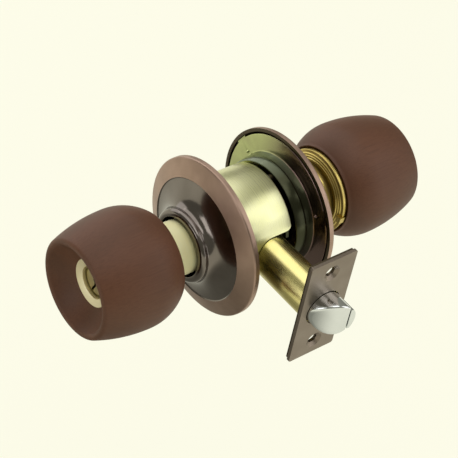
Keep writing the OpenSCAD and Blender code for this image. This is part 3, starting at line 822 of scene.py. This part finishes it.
@dataclass
class Neck:
    """The brass neck between a rose and its knob: plain outside, beaded and lugged inside."""

    side: Side
    neck_radius: float = 12.5
    bore: float = 10.05
    start: float = 4.4
    flange_proud: float = 1.6
    plain_proud: float = 0.5
    flange_seat: float = 3.0
    flange_rim: float = 1.3
    flare_wide: float = 3.2
    flare_tall: float = 2.2
    beads: int = 3
    bead_rise: float = 0.35
    bead_points: tuple[Point, ...] = ((0.3, -0.9), (0.7, -0.5), (1.0, 1.0))
    edge_round: float = 0.28
    catch_radius: float = 1.25
    catch_height: float = 17.0
    lug_angle: float = 6.0
    lug_half: float = 1.7
    lug_root: float = 2.0
    lug_proud: float = 0.6
    lug_drop: float = 1.4
    lug_gap: float = 0.2
    painted_dark_from: float = 12.7

    def __post_init__(self) -> None:
        """Measures the flange's radius and the knob's height off the door."""
        self.flange = Span.of(self.side.node("ferrule")).size.z / 2
        self.reach = abs(self.side.knob_back - self.side.door_face)

    def beaded_face(self) -> Profile:
        """The inside neck's skin: a flare, then stepped beads up to the flange.

        Returns:
            Its points, with height measured off the door.
        """
        lip = self.reach - self.flange_proud
        pitch = (self.flange - self.flange_rim - self.neck_radius - self.flare_wide) / self.beads
        foot = (self.neck_radius + self.flare_wide, lip - (self.beads + 0.5) * self.bead_rise)
        flare = arc(
            (foot[0], foot[1] - self.flare_tall), self.flare_wide, 180, 90, steps=20, tall=self.flare_tall)
        beads = [
            (foot[0] + (i + out) * pitch, foot[1] + (i + up) * self.bead_rise)
            for i in range(self.beads) for out, up in self.bead_points
        ]
        return flare + beads + [(self.flange, lip)]

    def section(self) -> Profile:
        """The neck's section, plain outside and beaded inside.

        Returns:
            A closed outline, with height measured off the door.
        """
        lip = self.reach - self.plain_proud
        plain = [(self.neck_radius, lip), (self.flange, lip)]
        face = plain if self.side is Side.OUTSIDE else self.beaded_face()
        top = self.reach + self.flange_seat
        return [
            (self.bore, self.start), (self.neck_radius, self.start), *face, (self.flange, top),
            (self.bore, top),
        ]

    def build(self) -> None:
        """Turns the neck, adds the inside one's lug and drills it for the catch."""
        node = self.side.node("ferrule")
        place = self.side.seat(self.side.door_face)
        section = rounded(self.section(), self.edge_round, steps=3)
        piece = to_object(lathe(section), f"{node}_turned", place)
        if self.side is Side.INSIDE:
            outline = rectangle(
                self.flange - self.lug_root, self.flange + self.lug_proud, -self.lug_half, self.lug_half)
            lug = prism(
                outline, self.reach - self.flange_proud - self.lug_drop, self.reach - self.lug_gap)
            combine(piece, Way.JOIN, lug, place @ turned(self.lug_angle, "Z"))
        aim = place @ shift(0, 0, self.catch_height) @ turned(-90, "Y")
        combine(piece, Way.CUT, rod(self.catch_radius, 0, self.flange + PAST, steps=48), aim)
        # Outside, the neck's brass carries painted light, and its flange the dark paint that the cove
        # mirrors as the knob.
        if self.side is Side.OUTSIDE:
            complete(piece, self.side.body, "brass", node, BRASS_PAINTED_LIT, FLANGE_PAINTED_DARK,
                     pick=lambda middle, way: int(off_axis(middle) > self.painted_dark_from))
        else:
            # The inside neck takes the brass that is darkened as painted shade.
            complete(piece, self.side.body, "brass", node, BRASS)


@dataclass
class Rose:
    """A pressed rose: satin copper flange and black bronze cove in one shell."""

    side: Side
    wall: float = 1.0
    rim_height: float = 2.8
    rim_width: float = 1.6
    crease: float = 28.6
    crease_height: float = 5.9
    crease_step: float = 0.35
    crease_round: float = 0.12
    collar: float = 17.4
    lip_hole: float = 14.1
    lip_round: float = 0.3
    shoulder: float = 1.0
    collar_round: float = 2.2
    cove_drop: float = 3.1
    foot_lean: float = 0.55
    back_turn: float = 0.2

    def section(self) -> Profile:
        """The shell's section, up the face and back along the inside.

        Returns:
            A closed outline, with height measured off the door.
        """
        box = Span.of(self.side.node("rose")).size
        radius, height = box.z / 2, box.y
        cove_top = height - self.cove_drop
        wide = (self.crease - self.collar) / (1 - self.foot_lean)
        tall = (cove_top - self.crease_height + self.crease_step) / math.sqrt(1 - self.foot_lean ** 2)
        cove = (self.collar + wide, cove_top)
        foot = 270 - math.degrees(math.asin(self.foot_lean))
        inner_collar = self.collar - self.collar_round
        flat = radius - self.shoulder
        tilt = math.degrees(math.atan2(self.crease_height - self.rim_height, flat - self.crease))
        step = self.crease + self.crease_step
        face = (
            [(radius, 0.0)]
            + arc((flat, self.rim_height - self.shoulder), self.shoulder, 0, 90 - tilt, steps=10)
            + [(step + self.crease_round, self.crease_height - self.crease_round / 4),
               (step, self.crease_height - self.crease_round)]
            + arc(cove, wide, foot, 180, steps=36, tall=tall)
            + arc((inner_collar, height - self.collar_round), self.collar_round, 0, 90, steps=16)
            + arc((self.lip_hole + self.lip_round, height - self.lip_round), self.lip_round, 90, 180,
                  steps=4)
        )
        back = (
            [(self.lip_hole, height - self.wall), (inner_collar, height - self.wall),
             (self.collar - self.wall, height - self.collar_round)]
            + arc(cove, wide + self.wall, 180, foot, steps=24, tall=tall + self.wall)
            + [(radius - self.rim_width, self.rim_height - self.wall), (radius - self.rim_width, 0.0)]
        )
        return face + back

    def build(self) -> None:
        """Presses the rose and gives its flange and its cove their own plate, and its back the dark plate
        that is painted shade.
        """
        node = self.side.node("rose")
        door_face = self.side.door_face
        shell = lathe(self.section(), FINE_TURN_STEPS)
        piece = to_object(shell, f"{node}_pressed", self.side.seat(door_face))
        edge = self.crease + self.crease_step + self.crease_round / 2
        outward = math.copysign(1, self.side.knob_back - door_face)
        complete(
            piece, "root", "rose_copper", node, COPPER, GLOSS_BRONZE, BRONZE_PAINTED_SHADE,
            pick=lambda middle, way: (
                2 if way.y * outward < -self.back_turn else int(off_axis(middle) < edge)))


@dataclass
class KeyPlug:
    """The key plug with its zigzag keyway."""

    slot_width: float = 1.2
    slot_foot: float = -1.9
    zigzag: tuple[Point, ...] = (
        (-1.5, -4.6), (-0.35, -2.4), (-0.35, -1.2), (-1.5, -0.2), (-1.5, 0.6), (-0.5, 1.8), (-0.5, 4.6))
    back_wall: float = 1.5
    edge_round: float = 0.25
    pin_hole: float = 1.4
    pin_depth: float = 9.0
    first_pin: float = 1.35
    face_rim: float = 0.3
    face_depth: float = 0.2

    def build(self) -> None:
        """Turns the plug, cuts its keyway and its pin holes."""
        box = Span.of("key_plug")
        radius = box.size.x / 2
        place = Side.OUTSIDE.seat(box.high.y)
        section = rounded(rectangle(0, radius, 0, box.size.y), self.edge_round)
        piece = to_object(lathe(section, steps=96), "key_plug_turned", place)
        left = [(self.slot_foot, -radius - PAST), *self.zigzag]
        outline = left + [(x + self.slot_width, y) for x, y in reversed(left)]
        combine(piece, Way.CUT, prism(outline, self.back_wall, box.size.y + PAST), place)
        first = Span.of("key_pins").high.y - self.first_pin
        for i in range(PINS):
            hole = rod(self.pin_hole, 0, self.pin_depth, steps=32)
            combine(piece, Way.CUT, hole, shift(0, first - PIN_PITCH * i, 0))
        # The keyway's walls and pin holes take the slot's painted shade.
        bore, depth = radius - self.face_rim, box.low.y + self.face_depth
        complete(piece, "key_plug", "brass", "key_plug", PLUG_BRASS, KEYWAY_PAINTED_SHADE,
                 pick=lambda middle, way: int(off_axis(middle) < bore and middle.y > depth))


@dataclass
class TurnButton:
    """The thumb turn in the inside knob's dish."""

    bar_width: float = 3.6
    bar_inset: float = 0.3
    bar_root: float = 1.0
    shaft: float = 2.6
    edge_round: float = 0.3
    disc_gap: float = 0.1
    broken_edge: float = 0.4

    def build(self) -> None:
        """Turns the disc and shaft and joins the thumb bar to them."""
        box = Span.of("turn_button")
        radius = box.size.x / 2
        knob = TurnedKnob(Side.INSIDE)
        knob_back = Side.INSIDE.knob_back
        disc_low = knob.ring_back + self.disc_gap
        disc_high = knob.ring_front - knob.ring_dip
        place = Side.INSIDE.seat(knob_back)
        foot = box.low.y - knob_back
        section = rounded([
            (0, foot), (self.shaft, foot), (self.shaft, disc_low), (radius, disc_low),
            (radius, disc_high), (0, disc_high),
        ], self.edge_round)
        piece = to_object(lathe(section, steps=96), "turn_button_cast", place)
        half = radius - self.bar_width / 2 - self.bar_inset
        outline = (arc((half, 0), self.bar_width / 2, -90, 90, steps=16)
                   + arc((-half, 0), self.bar_width / 2, 90, 270, steps=16))
        bar = prism(outline, disc_high - self.bar_root, box.high.y - knob_back)
        combine(piece, Way.JOIN, bar, place)
        soften(piece, self.broken_edge)
        complete(piece, "turn_button", "brass", "turn_button", BRASS, weighted=True)


@dataclass
class Chassis:
    """The drum that fills the door's bore, with its mouth for the latch tube."""

    wall: float = 1.6
    edge_round: float = 0.45
    mouth: float = 10.0
    mouth_from: float = 5.0
    corner: float = 3.0

    def build(self) -> None:
        """Rolls the drum and cuts its mouth."""
        box = Span.of("chassis_drum")
        radius, high = box.size.z / 2, box.high.y
        section = rounded(rectangle(radius - self.wall, radius, box.low.y, high), self.edge_round)
        piece = to_object(lathe(section, steps=192), "chassis_drum_rolled", turned(-90, "X"))
        edge = self.mouth + self.corner
        mouth = (
            arc((0, 0), self.mouth, 90, 270, steps=40)
            + arc((high - self.corner, -edge), self.corner, 90, 0, steps=12)
            + [(high + PAST, -edge), (high + PAST, edge)]
            + arc((high - self.corner, edge), self.corner, 0, -90, steps=12)
        )
        combine(piece, Way.CUT, prism(mouth, self.mouth_from, radius + PAST), side_on())
        complete(piece, "root", "yellow_zinc", "chassis_drum", YELLOW_ZINC)


@dataclass
class MountingPlate:
    """The drawn plate that clamps the lock to the inside face and carries the rose."""

    plate: float = 1.2
    plate_radius: float = 34.8
    cup_depth: float = 9.0
    cup_mid: float = 4.2
    cup_step: float = 0.4
    cup_flare: float = 1.0
    wall: float = 1.0
    hub_hole: float = 13.7
    foot: float = 25.2
    top: float = 26.6
    edge_round: float = 0.5
    screw_offset: float = 20.9
    screw_hole: float = 1.9
    clips: tuple[float, ...] = (90.0, 210.0, 330.0)
    clip_width: float = 7.0
    clip_root: float = 1.0
    clip_gap: float = 0.02
    prong: float = 0.9
    prong_root: float = 0.3
    prong_from_cup: float = 1.9
    side_inset: float = 1.5
    side_proud: float = 0.1
    side_depth: float = 0.6

    def section(self) -> Profile:
        """The section of the drawn cup and its flange.

        Returns:
            A closed outline, with height measured off the door's inside face.
        """
        inner_foot = (self.foot - self.wall, self.wall - self.cup_depth)
        return [
            (self.hub_hole, -self.cup_depth), (self.foot, -self.cup_depth),
            (self.foot + self.cup_flare, -self.cup_mid),
            (self.foot + self.cup_flare / 2, self.cup_step - self.cup_mid),
            (self.top, 0.0), (self.plate_radius, 0.0), (self.plate_radius, self.plate),
            (self.top - self.wall, self.plate), inner_foot, (self.hub_hole, inner_foot[1]),
        ]

    def build(self) -> None:
        """Draws the plate, drills it and adds its clips and prongs."""
        door_face = Side.INSIDE.door_face
        place = Side.INSIDE.seat(door_face)
        clip_radius = -Span.of("mounting_plate").low.z
        section = rounded(self.section(), self.edge_round)
        piece = to_object(lathe(section), "mounting_plate_drawn", place)
        half = self.clip_width / 2
        clip = rectangle(self.plate_radius - self.clip_root, clip_radius, -half, half)
        spike = [(0, -self.prong), (self.prong / 4, -self.prong), (self.prong, self.prong_root),
                 (0, self.prong_root)]
        for turn in self.clips:
            aim = place @ turned(turn, "Z")
            combine(piece, Way.JOIN, prism(clip, self.clip_gap, self.plate), aim)
            seat = aim @ shift(self.top + self.prong_from_cup, 0, 0)
            combine(piece, Way.JOIN, lathe(spike, steps=24), seat)
        for side in (-1, 1):
            aim = place @ shift(0, side * self.screw_offset, 0)
            drill = rod(self.screw_hole, -self.cup_depth - PAST, self.plate + PAST, steps=32)
            combine(piece, Way.CUT, drill, aim)
        # The cup's side takes the zinc whose dark olive turn is painted shade.
        low, high = self.foot - self.side_inset, self.top + self.side_proud
        deep = door_face - self.side_depth
        complete(piece, "root", "bronze_plate", "mounting_plate", BRIGHT_ZINC, CUP_ZINC,
                 pick=lambda middle, way: int(low < off_axis(middle) < high and middle.y < deep))


@dataclass
class Latch:
    """The side latch: tube, plates, bevelled bolt and deadlatch plunger."""

    tube_wall: float = 0.7
    tube_round: float = 0.25
    tube_gap: float = 0.05
    bolt_radius: float = 8.7
    bolt_flat: float = 5.2
    nose_curve: float = 18.7
    nose_centre_y: float = 8.1
    bevel_y: float = 10.0
    nose_fillet: float = 0.9
    flat_fillet: float = 0.35
    fillet_steps: int = 6
    round_steps: int = 120
    flat_steps: int = 24
    crown_y: float = -1.0
    crown_insets: tuple[float, ...] = (2.4, 4.2, 5.8)
    clip: float = 0.7
    hole: float = 2.3
    hole_span: float = 41.3
    opening: float = 9.1
    sink: float = 1.9
    sink_land: float = 0.4
    sink_over: float = 0.001
    tail_slot: float = 5.0
    slot_half_width: float = 1.05
    slot_half_height: float = 2.45
    plunger_edge: float = 0.2
    plate_edge: float = 0.15

    def build_tube(self) -> None:
        """Draws the tube."""
        box = Span.of("latch_tube")
        radius = box.size.z / 2
        section = rounded(
            rectangle(radius - self.tube_wall, radius, box.low.x, box.high.x), self.tube_round)
        piece = to_object(lathe(section, steps=128), "latch_tube_drawn", latch_seat())
        complete(piece, "root", "yellow_zinc", "latch_tube", ZINC_TUBE)

    def nose_x(self, tip: float, y: float) -> float:
        """How far the curved bevel reaches along X at the given Y."""
        return tip - self.nose_curve + math.sqrt(self.nose_curve ** 2 - (y - self.nose_centre_y) ** 2)

    def bolt_skin(self, back: float, tip: float) -> Mesh:
        """Casts the bolt as rings of its D-shaped section, closing over the rounded nose.

        Args:
            back: Where the bolt starts along X.
            tip: Where its nose ends.

        Returns:
            The closed solid in the row's millimetres.
        """
        half = math.degrees(math.acos(self.bolt_flat / self.bolt_radius))
        edge = self.bolt_radius * math.sin(math.radians(half))
        round_part = arc((0.0, 0.0), self.bolt_radius, half, 360 - half, self.round_steps)
        flat_part = [
            (self.bolt_flat, -edge + 2 * edge * i / self.flat_steps) for i in range(1, self.flat_steps)]
        section = [(y, z, self.nose_fillet) for y, z in round_part]
        section += [(y, z, self.flat_fillet) for y, z in flat_part]
        swings = [math.pi / 2 * i / self.fillet_steps for i in range(self.fillet_steps + 1)]
        levels = [(1 - math.cos(s), 1 - math.sin(s), 0.0) for s in swings]
        levels += [(0.0, 0.0, inset) for inset in self.crown_insets]
        middle = Vector((self.crown_y, 0.0))
        rings = [[(back, y, z) for y, z, fillet in section]]
        for drawn_in, fall, inset in levels:
            ring: list[Place] = []
            for y, z, fillet in section:
                out = Vector((y, z)) - middle
                spot = middle + out * max(0.0, 1 - (fillet * drawn_in + inset) / out.length)
                ring.append((self.nose_x(tip, spot.x) - fillet * fall, spot.x, spot.y))
            rings.append(ring)
        return skin(rings + [[(self.nose_x(tip, self.crown_y), self.crown_y, 0.0)]])

    def build_bolt(self) -> None:
        """Casts the bolt, with its slot for the tail."""
        box = Span.of("latch_bolt")
        piece = to_object(self.bolt_skin(box.low.x, box.high.x), "latch_bolt_cast", Matrix())
        outline = rectangle(
            box.low.x - PAST, box.low.x + self.tail_slot, -self.slot_half_width, self.slot_half_width)
        slot = prism(outline, -self.slot_half_height, self.slot_half_height)
        combine(piece, Way.CUT, slot, Matrix())
        complete(piece, "latch_bolt", "latch_chrome", "latch_bolt", CHROME)

    def build_plunger(self) -> None:
        """Casts the plunger, a slice of the same round behind the same curved bevel."""
        box = Span.of("deadlatch_plunger")
        half = box.size.z / 2
        shaft = rod(self.bolt_radius, box.low.x, box.high.x, steps=128)
        piece = to_object(shaft, "deadlatch_plunger_cast", latch_seat())
        start, stop = (
            math.degrees(math.asin((y - self.nose_centre_y) / self.nose_curve))
            for y in (box.low.y, self.bevel_y))
        bevel = arc(
            (box.high.x - self.nose_curve, self.nose_centre_y), self.nose_curve, start, stop, steps=32)
        back = box.low.x - PAST
        outline = [(back, box.low.y), *bevel, (back, self.bevel_y)]
        combine(piece, Way.SLICE, prism(outline, -half, half), Matrix())
        soften(piece, self.plunger_edge)
        complete(piece, "deadlatch_plunger", "latch_chrome", "deadlatch_plunger", CHROME, weighted=True)

    def build_plate(self, node: str, opening: float, sink: float, finish: Metal, slot: str) -> None:
        """Cuts one of the two plates at the door's edge.

        Args:
            node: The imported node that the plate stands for.
            opening: Radius of the opening for the bolt or the tube.
            sink: How much wider than the screw the countersink is, or 0 for none.
            finish: The plate's finish.
            slot: The record's material slot.
        """
        box = Span.of(node)
        high, wide, thick = box.size.z / 2, box.size.y / 2, box.size.x
        outline = rounded(rectangle(-high, high, -wide, wide), self.clip, steps=1)
        place = latch_seat(box.low.x)
        piece = to_object(prism(outline, 0, thick), f"{node}_stamped", place)
        combine(piece, Way.CUT, rod(opening, -PAST, thick + PAST, steps=96), place)
        mouth = self.hole + sink
        cone = [(self.hole, self.sink_land), (mouth, thick + self.sink_over)] if sink else []
        screw = [(0, -PAST), (self.hole, -PAST), *cone, (mouth, thick + PAST), (0, thick + PAST)]
        for side in (-1, 1):
            aim = place @ shift(side * self.hole_span / 2, 0, 0)
            combine(piece, Way.CUT, lathe(screw, steps=64), aim)
        soften(piece, self.plate_edge)
        complete(piece, "root", slot, node, finish, weighted=True)

    def build(self) -> None:
        """Builds the tube, the bolt, the plunger and the two plates."""
        self.build_tube()
        self.build_bolt()
        self.build_plunger()
        self.build_plate("latch_faceplate", self.opening, self.sink, BRUSHED_COPPER, "rose_copper")
        tube = Span.of("latch_tube").size.z / 2
        # The backplate inside the door's edge takes painted shade.
        self.build_plate("latch_backplate", tube + self.tube_gap, 0.0, BRONZE_PAINTED_SHADE, "bronze_plate")


@dataclass(frozen=True)
class Spring:
    """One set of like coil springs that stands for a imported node, lying along X unless upright.

    The step from copy to copy is along the coil's own axes, before it is laid down.
    """

    node: str
    body: str
    coil: float
    wire: float
    length: float
    turns: int
    start: Place
    copies: int = 1
    step: Place = (0.0, 0.0, 0.0)
    upright: bool = False


@dataclass
class SpringWinder:
    """Winds the lock's coil springs with one Geometry Nodes tree."""

    turn_points: int = 28
    wire_points: int = 10
    latch_coil: float = 4.0
    latch_wire: float = 0.45
    plunger_coil: float = 1.05
    plunger_wire: float = 0.25
    draw_coil: float = 1.35
    draw_wire: float = 0.3
    pin_coil: float = 1.1
    pin_wire: float = 0.2

    INPUTS: ClassVar[dict[str, str]] = {
        "Coil Radius": "Float", "Wire Radius": "Float", "Height": "Float", "Turns": "Float",
        "Copies": "Int", "Step": "Vector", "Plate": "Material",
    }

    def __post_init__(self) -> None:
        """Makes the tree: spiral, wire, copies and material."""
        self.tree = bpy.data.node_groups.new("coil_spring", "GeometryNodeTree")
        sockets = self.tree.interface
        self.keys = [
            sockets.new_socket(name, in_out="INPUT", socket_type=f"NodeSocket{kind}").identifier
            for name, kind in self.INPUTS.items()
        ]
        sockets.new_socket("Geometry", in_out="OUTPUT", socket_type="NodeSocketGeometry")
        tree = self.tree
        given = add(tree, "NodeGroupInput")
        spiral = add(tree, "GeometryNodeCurveSpiral", {
            "Resolution": self.turn_points, "Rotations": given["Turns"],
            "Start Radius": given["Coil Radius"], "End Radius": given["Coil Radius"],
            "Height": given["Height"]})[0]
        wire = add(tree, "GeometryNodeCurvePrimitiveCircle", {
            "Resolution": self.wire_points, "Radius": given["Wire Radius"]})[0]
        coil = add(tree, "GeometryNodeCurveToMesh", {
            "Curve": spiral, "Profile Curve": wire, "Fill Caps": True})[0]
        spots = add(tree, "GeometryNodeMeshLine", {"Count": given["Copies"], "Offset": given["Step"]})[0]
        row = add(tree, "GeometryNodeInstanceOnPoints", {"Points": spots, "Instance": coil})[0]
        real = add(tree, "GeometryNodeRealizeInstances", {0: row})[0]
        shade = add(tree, "GeometryNodeSetShadeSmooth", {0: real})[0]
        plated = add(tree, "GeometryNodeSetMaterial", {"Geometry": shade, "Material": given["Plate"]})[0]
        add(tree, "NodeGroupOutput", {0: plated})

    def wind(self, spring: Spring) -> None:
        """Winds one set of springs.

        Args:
            spring: The set's sizes, place and body.
        """
        name = f"{spring.node}_wound"
        piece = new_object(name, bpy.data.meshes.new(name))
        maker = piece.modifiers.new("wind", "NODES")
        maker.node_group = self.tree
        values = (
            spring.coil * MM, spring.wire * MM, (spring.length - 2 * spring.wire) * MM,
            float(spring.turns), spring.copies, [c * MM for c in spring.step], material_of(STEEL))
        for key, value in zip(self.keys, values):
            maker[key] = value
        bake_modifiers(piece)
        turn = Matrix() if spring.upright else turned(90, "Y")
        lead = Vector((0, 0, spring.wire)) if spring.upright else Vector((spring.wire, 0, 0))
        piece.data.transform(Matrix.Translation((Vector(spring.start) + lead) * MM) @ turn)
        hand_over(piece, spring.body, spring.node)

    def build(self) -> None:
        """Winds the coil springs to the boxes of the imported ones."""
        latch, plunger, draw, pins = (Span.of(node) for node in (
            "latch_spring", "plunger_spring", "retractor_springs", "pin_springs"))
        plunger_y = (plunger.low.y + plunger.high.y) / 2
        draw_z = draw.high.z - self.draw_coil - self.draw_wire
        pin_y = pins.high.y - self.pin_coil - self.pin_wire
        for spring in (
            Spring("latch_spring", "root", self.latch_coil, self.latch_wire, latch.size.x, turns=7,
                   start=(latch.low.x, 0, 0)),
            Spring("plunger_spring", "root", self.plunger_coil, self.plunger_wire, plunger.size.x,
                   turns=10, start=(plunger.low.x, plunger_y, 0)),
            Spring("retractor_springs", "root", self.draw_coil, self.draw_wire, draw.size.x, turns=7,
                   start=(draw.low.x, 0, draw_z), copies=2, step=(2 * draw_z, 0, 0)),
            Spring("pin_springs", "outside_knob", self.pin_coil, self.pin_wire, pins.size.z, turns=4,
                   start=(0, pin_y, pins.low.z), copies=PINS, step=(0, -PIN_PITCH, 0), upright=True),
        ):
            self.wind(spring)


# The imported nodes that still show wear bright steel, apart from these.
CAD_FINISHES: dict[str, Metal] = {
    # The cylinder's nose takes the painted shade of the gap round the plug.
    "cylinder_body": NOSE_PAINTED_SHADE,
    "key_pins": BRASS,
    # The liner behind the rose takes painted shade.
    "outside_rose_liner": BRONZE_PAINTED_SHADE,
    # The bridges inside the drum take its painted shade.
    "chassis_bridges": ZINC_PAINTED_SHADE,
    "outside_end_cap": YELLOW_ZINC,
    # The inside end cap, seen in the drum's mouth, takes its painted shade.
    "inside_end_cap": ZINC_PAINTED_SHADE,
    "outside_hub": YELLOW_ZINC,
    "inside_hub": YELLOW_ZINC,
}


def dress_packed_nodes() -> None:
    """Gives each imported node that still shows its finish."""
    for name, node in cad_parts.items():
        if not node.hide_render:
            dress(node, CAD_FINISHES.get(name, STEEL))
            log.info("%s keeps its packed shape", name)


@dataclass(frozen=True)
class Shot:
    """The camera's place, worked out from the photograph's two roses and two knobs."""

    azimuth: float = 44.451
    elevation: float = 42.377
    roll: float = -11.866
    distance: float = 723.0
    right_of_middle: float = 2.556
    above_middle: float = 2.445
    middle_y: float = -1.9
    lens: float = 126.7
    sensor: float = 36.0

    def build(self) -> None:
        """Sets the camera up."""
        a, e, r = (math.radians(v) for v in (self.azimuth, self.elevation, self.roll))
        back = Vector((math.sin(a) * math.cos(e), -math.cos(a) * math.cos(e), math.sin(e)))
        level = Vector((math.cos(a), math.sin(a), 0.0))
        upright = back.cross(level)
        right = level * math.cos(r) - upright * math.sin(r)
        up = level * math.sin(r) + upright * math.cos(r)
        place = back * self.distance - right * self.right_of_middle - up * self.above_middle
        place.y += self.middle_y
        turn = Matrix((right, up, back)).transposed().to_4x4()
        lens = bpy.data.cameras.new("camera")
        lens.lens = self.lens
        lens.sensor_width = self.sensor
        lens.clip_start = 0.01
        camera = new_object("camera", lens)
        camera.matrix_world = Matrix.Translation(place * MM) @ turn
        bpy.context.scene.camera = camera


@dataclass
class Studio:
    """A pale floor, soft light and the photograph's camera, in metres."""

    cream: str = "#fffeeb"
    floor_size: float = 12.0
    floor_drop: float = 0.16
    # Where the painted shadow in the floor's mirrored glow is centred, how far out it fades, and its
    # levels.
    shade_at: Point = (0.0, -0.2)
    shade_range: Range = (0.1, 0.35)
    shade_levels: Range = (0.2, 0.9)
    glow_share: float = 0.9
    sky_range: Range = (0.0, 0.9)
    sky_levels: Range = (0.22, 0.27)
    seen_level: float = 0.93
    target: Place = (0.01, 0.0, 0.0)

    def build_floor(self) -> None:
        """Lays the floor: cream paper that glows by itself for the camera and in mirrors, where its glow
        is painted darker near the lock as the lock's shadow.
        """
        low = CAD_BOX[0][2] - self.floor_drop
        half = self.floor_size / 2
        data = bpy.data.meshes.new("floor")
        corners = [(x, y, low) for x, y in rectangle(-half, half, -half, half)]
        data.from_pydata(corners, [], [(0, 1, 2, 3)])
        floor = new_object("floor", data)
        material = bpy.data.materials.new("pale_paper")
        tree = empty_tree(material)
        matt = add(tree, "ShaderNodeBsdfDiffuse", {"Color": linear(self.cream)})[0]
        path = add(tree, "ShaderNodeLightPath")
        shade = add(tree, "ShaderNodeVectorMath", {0: own_place(tree), 1: (*self.shade_at, low)},
                    operation="SUBTRACT")[0]
        mirror_glow_painted_shadow = ramp(tree, length(tree, shade), self.shade_range, self.shade_levels, soft=True)
        level = add(tree, "ShaderNodeMix", {0: path["Is Camera Ray"], 2: mirror_glow_painted_shadow, 3: 1.0})[0]
        glow = add(tree, "ShaderNodeEmission", {"Color": linear(self.cream), "Strength": level})[0]
        seen = sum_up(tree, "MAXIMUM", path["Is Camera Ray"], path["Is Glossy Ray"])
        seen = sum_up(tree, "MAXIMUM", seen, path["Is Transmission Ray"])
        share = sum_up(tree, "MULTIPLY", seen, self.glow_share)
        both = add(tree, "ShaderNodeMixShader", {0: share, 1: matt, 2: glow})[0]
        add(tree, "ShaderNodeOutputMaterial", {"Surface": both})
        data.materials.append(material)

    def build_world(self) -> None:
        """Sets the even light that comes from all round, softer towards the horizon."""
        world = bpy.data.worlds.new("studio")
        tree = empty_tree(world)
        way = add(tree, "ShaderNodeSeparateXYZ", {0: add(tree, "ShaderNodeTexCoord")["Generated"]})["Z"]
        climb = ramp(tree, way, self.sky_range, self.sky_levels, soft=True)
        seen = add(tree, "ShaderNodeLightPath")["Is Camera Ray"]
        level = add(tree, "ShaderNodeMix", {0: seen, 2: climb, 3: self.seen_level})[0]
        sky = add(tree, "ShaderNodeBackground", {"Color": linear(self.cream), "Strength": level})[0]
        add(tree, "ShaderNodeOutputWorld", {"Surface": sky})
        bpy.context.scene.world = world

    def build_lights(self) -> None:
        """Hangs the soft lights, each with its place, its width and height, and its power."""
        for name, place, size, power in (
            ("overhead", (-0.6, 0.1, 1.05), (1.1, 1.5), 6.0),
            ("key", (0.3, -0.1, 1.15), (0.6, 0.6), 1.8),
            ("front", (0.0, -1.3, 0.5), (0.8, 0.7), 3.2),
            ("left", (-1.15, 0.0, 0.3), (1.1, 0.7), 2.6),
            ("right", (1.0, 0.7, 0.1), (1.1, 1.0), 3.0),
            ("back", (0.55, 0.8, 0.82), (0.9, 0.8), 3.0),
        ):
            lamp = bpy.data.lights.new(name, "AREA")
            lamp.shape = "RECTANGLE"
            lamp.size, lamp.size_y = size
            lamp.energy = power
            light = new_object(name, lamp)
            light.location = place
            aim = Vector(self.target) - Vector(place)
            light.rotation_euler = aim.to_track_quat("-Z", "Y").to_euler()

    def build(self) -> None:
        """Builds the studio."""
        Shot().build()
        self.build_floor()
        self.build_world()
        self.build_lights()
        bpy.context.scene.view_settings.view_transform = "Standard"


class SubAssembly(Protocol):
    """Anything that builds its pieces when asked."""

    def build(self) -> None:
        """Builds the pieces."""


def main() -> None:
    """Builds the lock's dressed pieces in order, then the studio."""
    logging.basicConfig(level=logging.INFO, format="%(name)s: %(message)s")
    parts: list[SubAssembly] = [kind(side) for side in Side for kind in (TurnedKnob, Neck, Rose)]
    parts += [KeyPlug(), TurnButton(), Chassis(), MountingPlate(), Latch(), SpringWinder()]
    for part in parts:
        part.build()
        log.info("%s built", type(part).__name__)
    dress_packed_nodes()
    Studio().build()


if __name__ == "__main__":
    main()
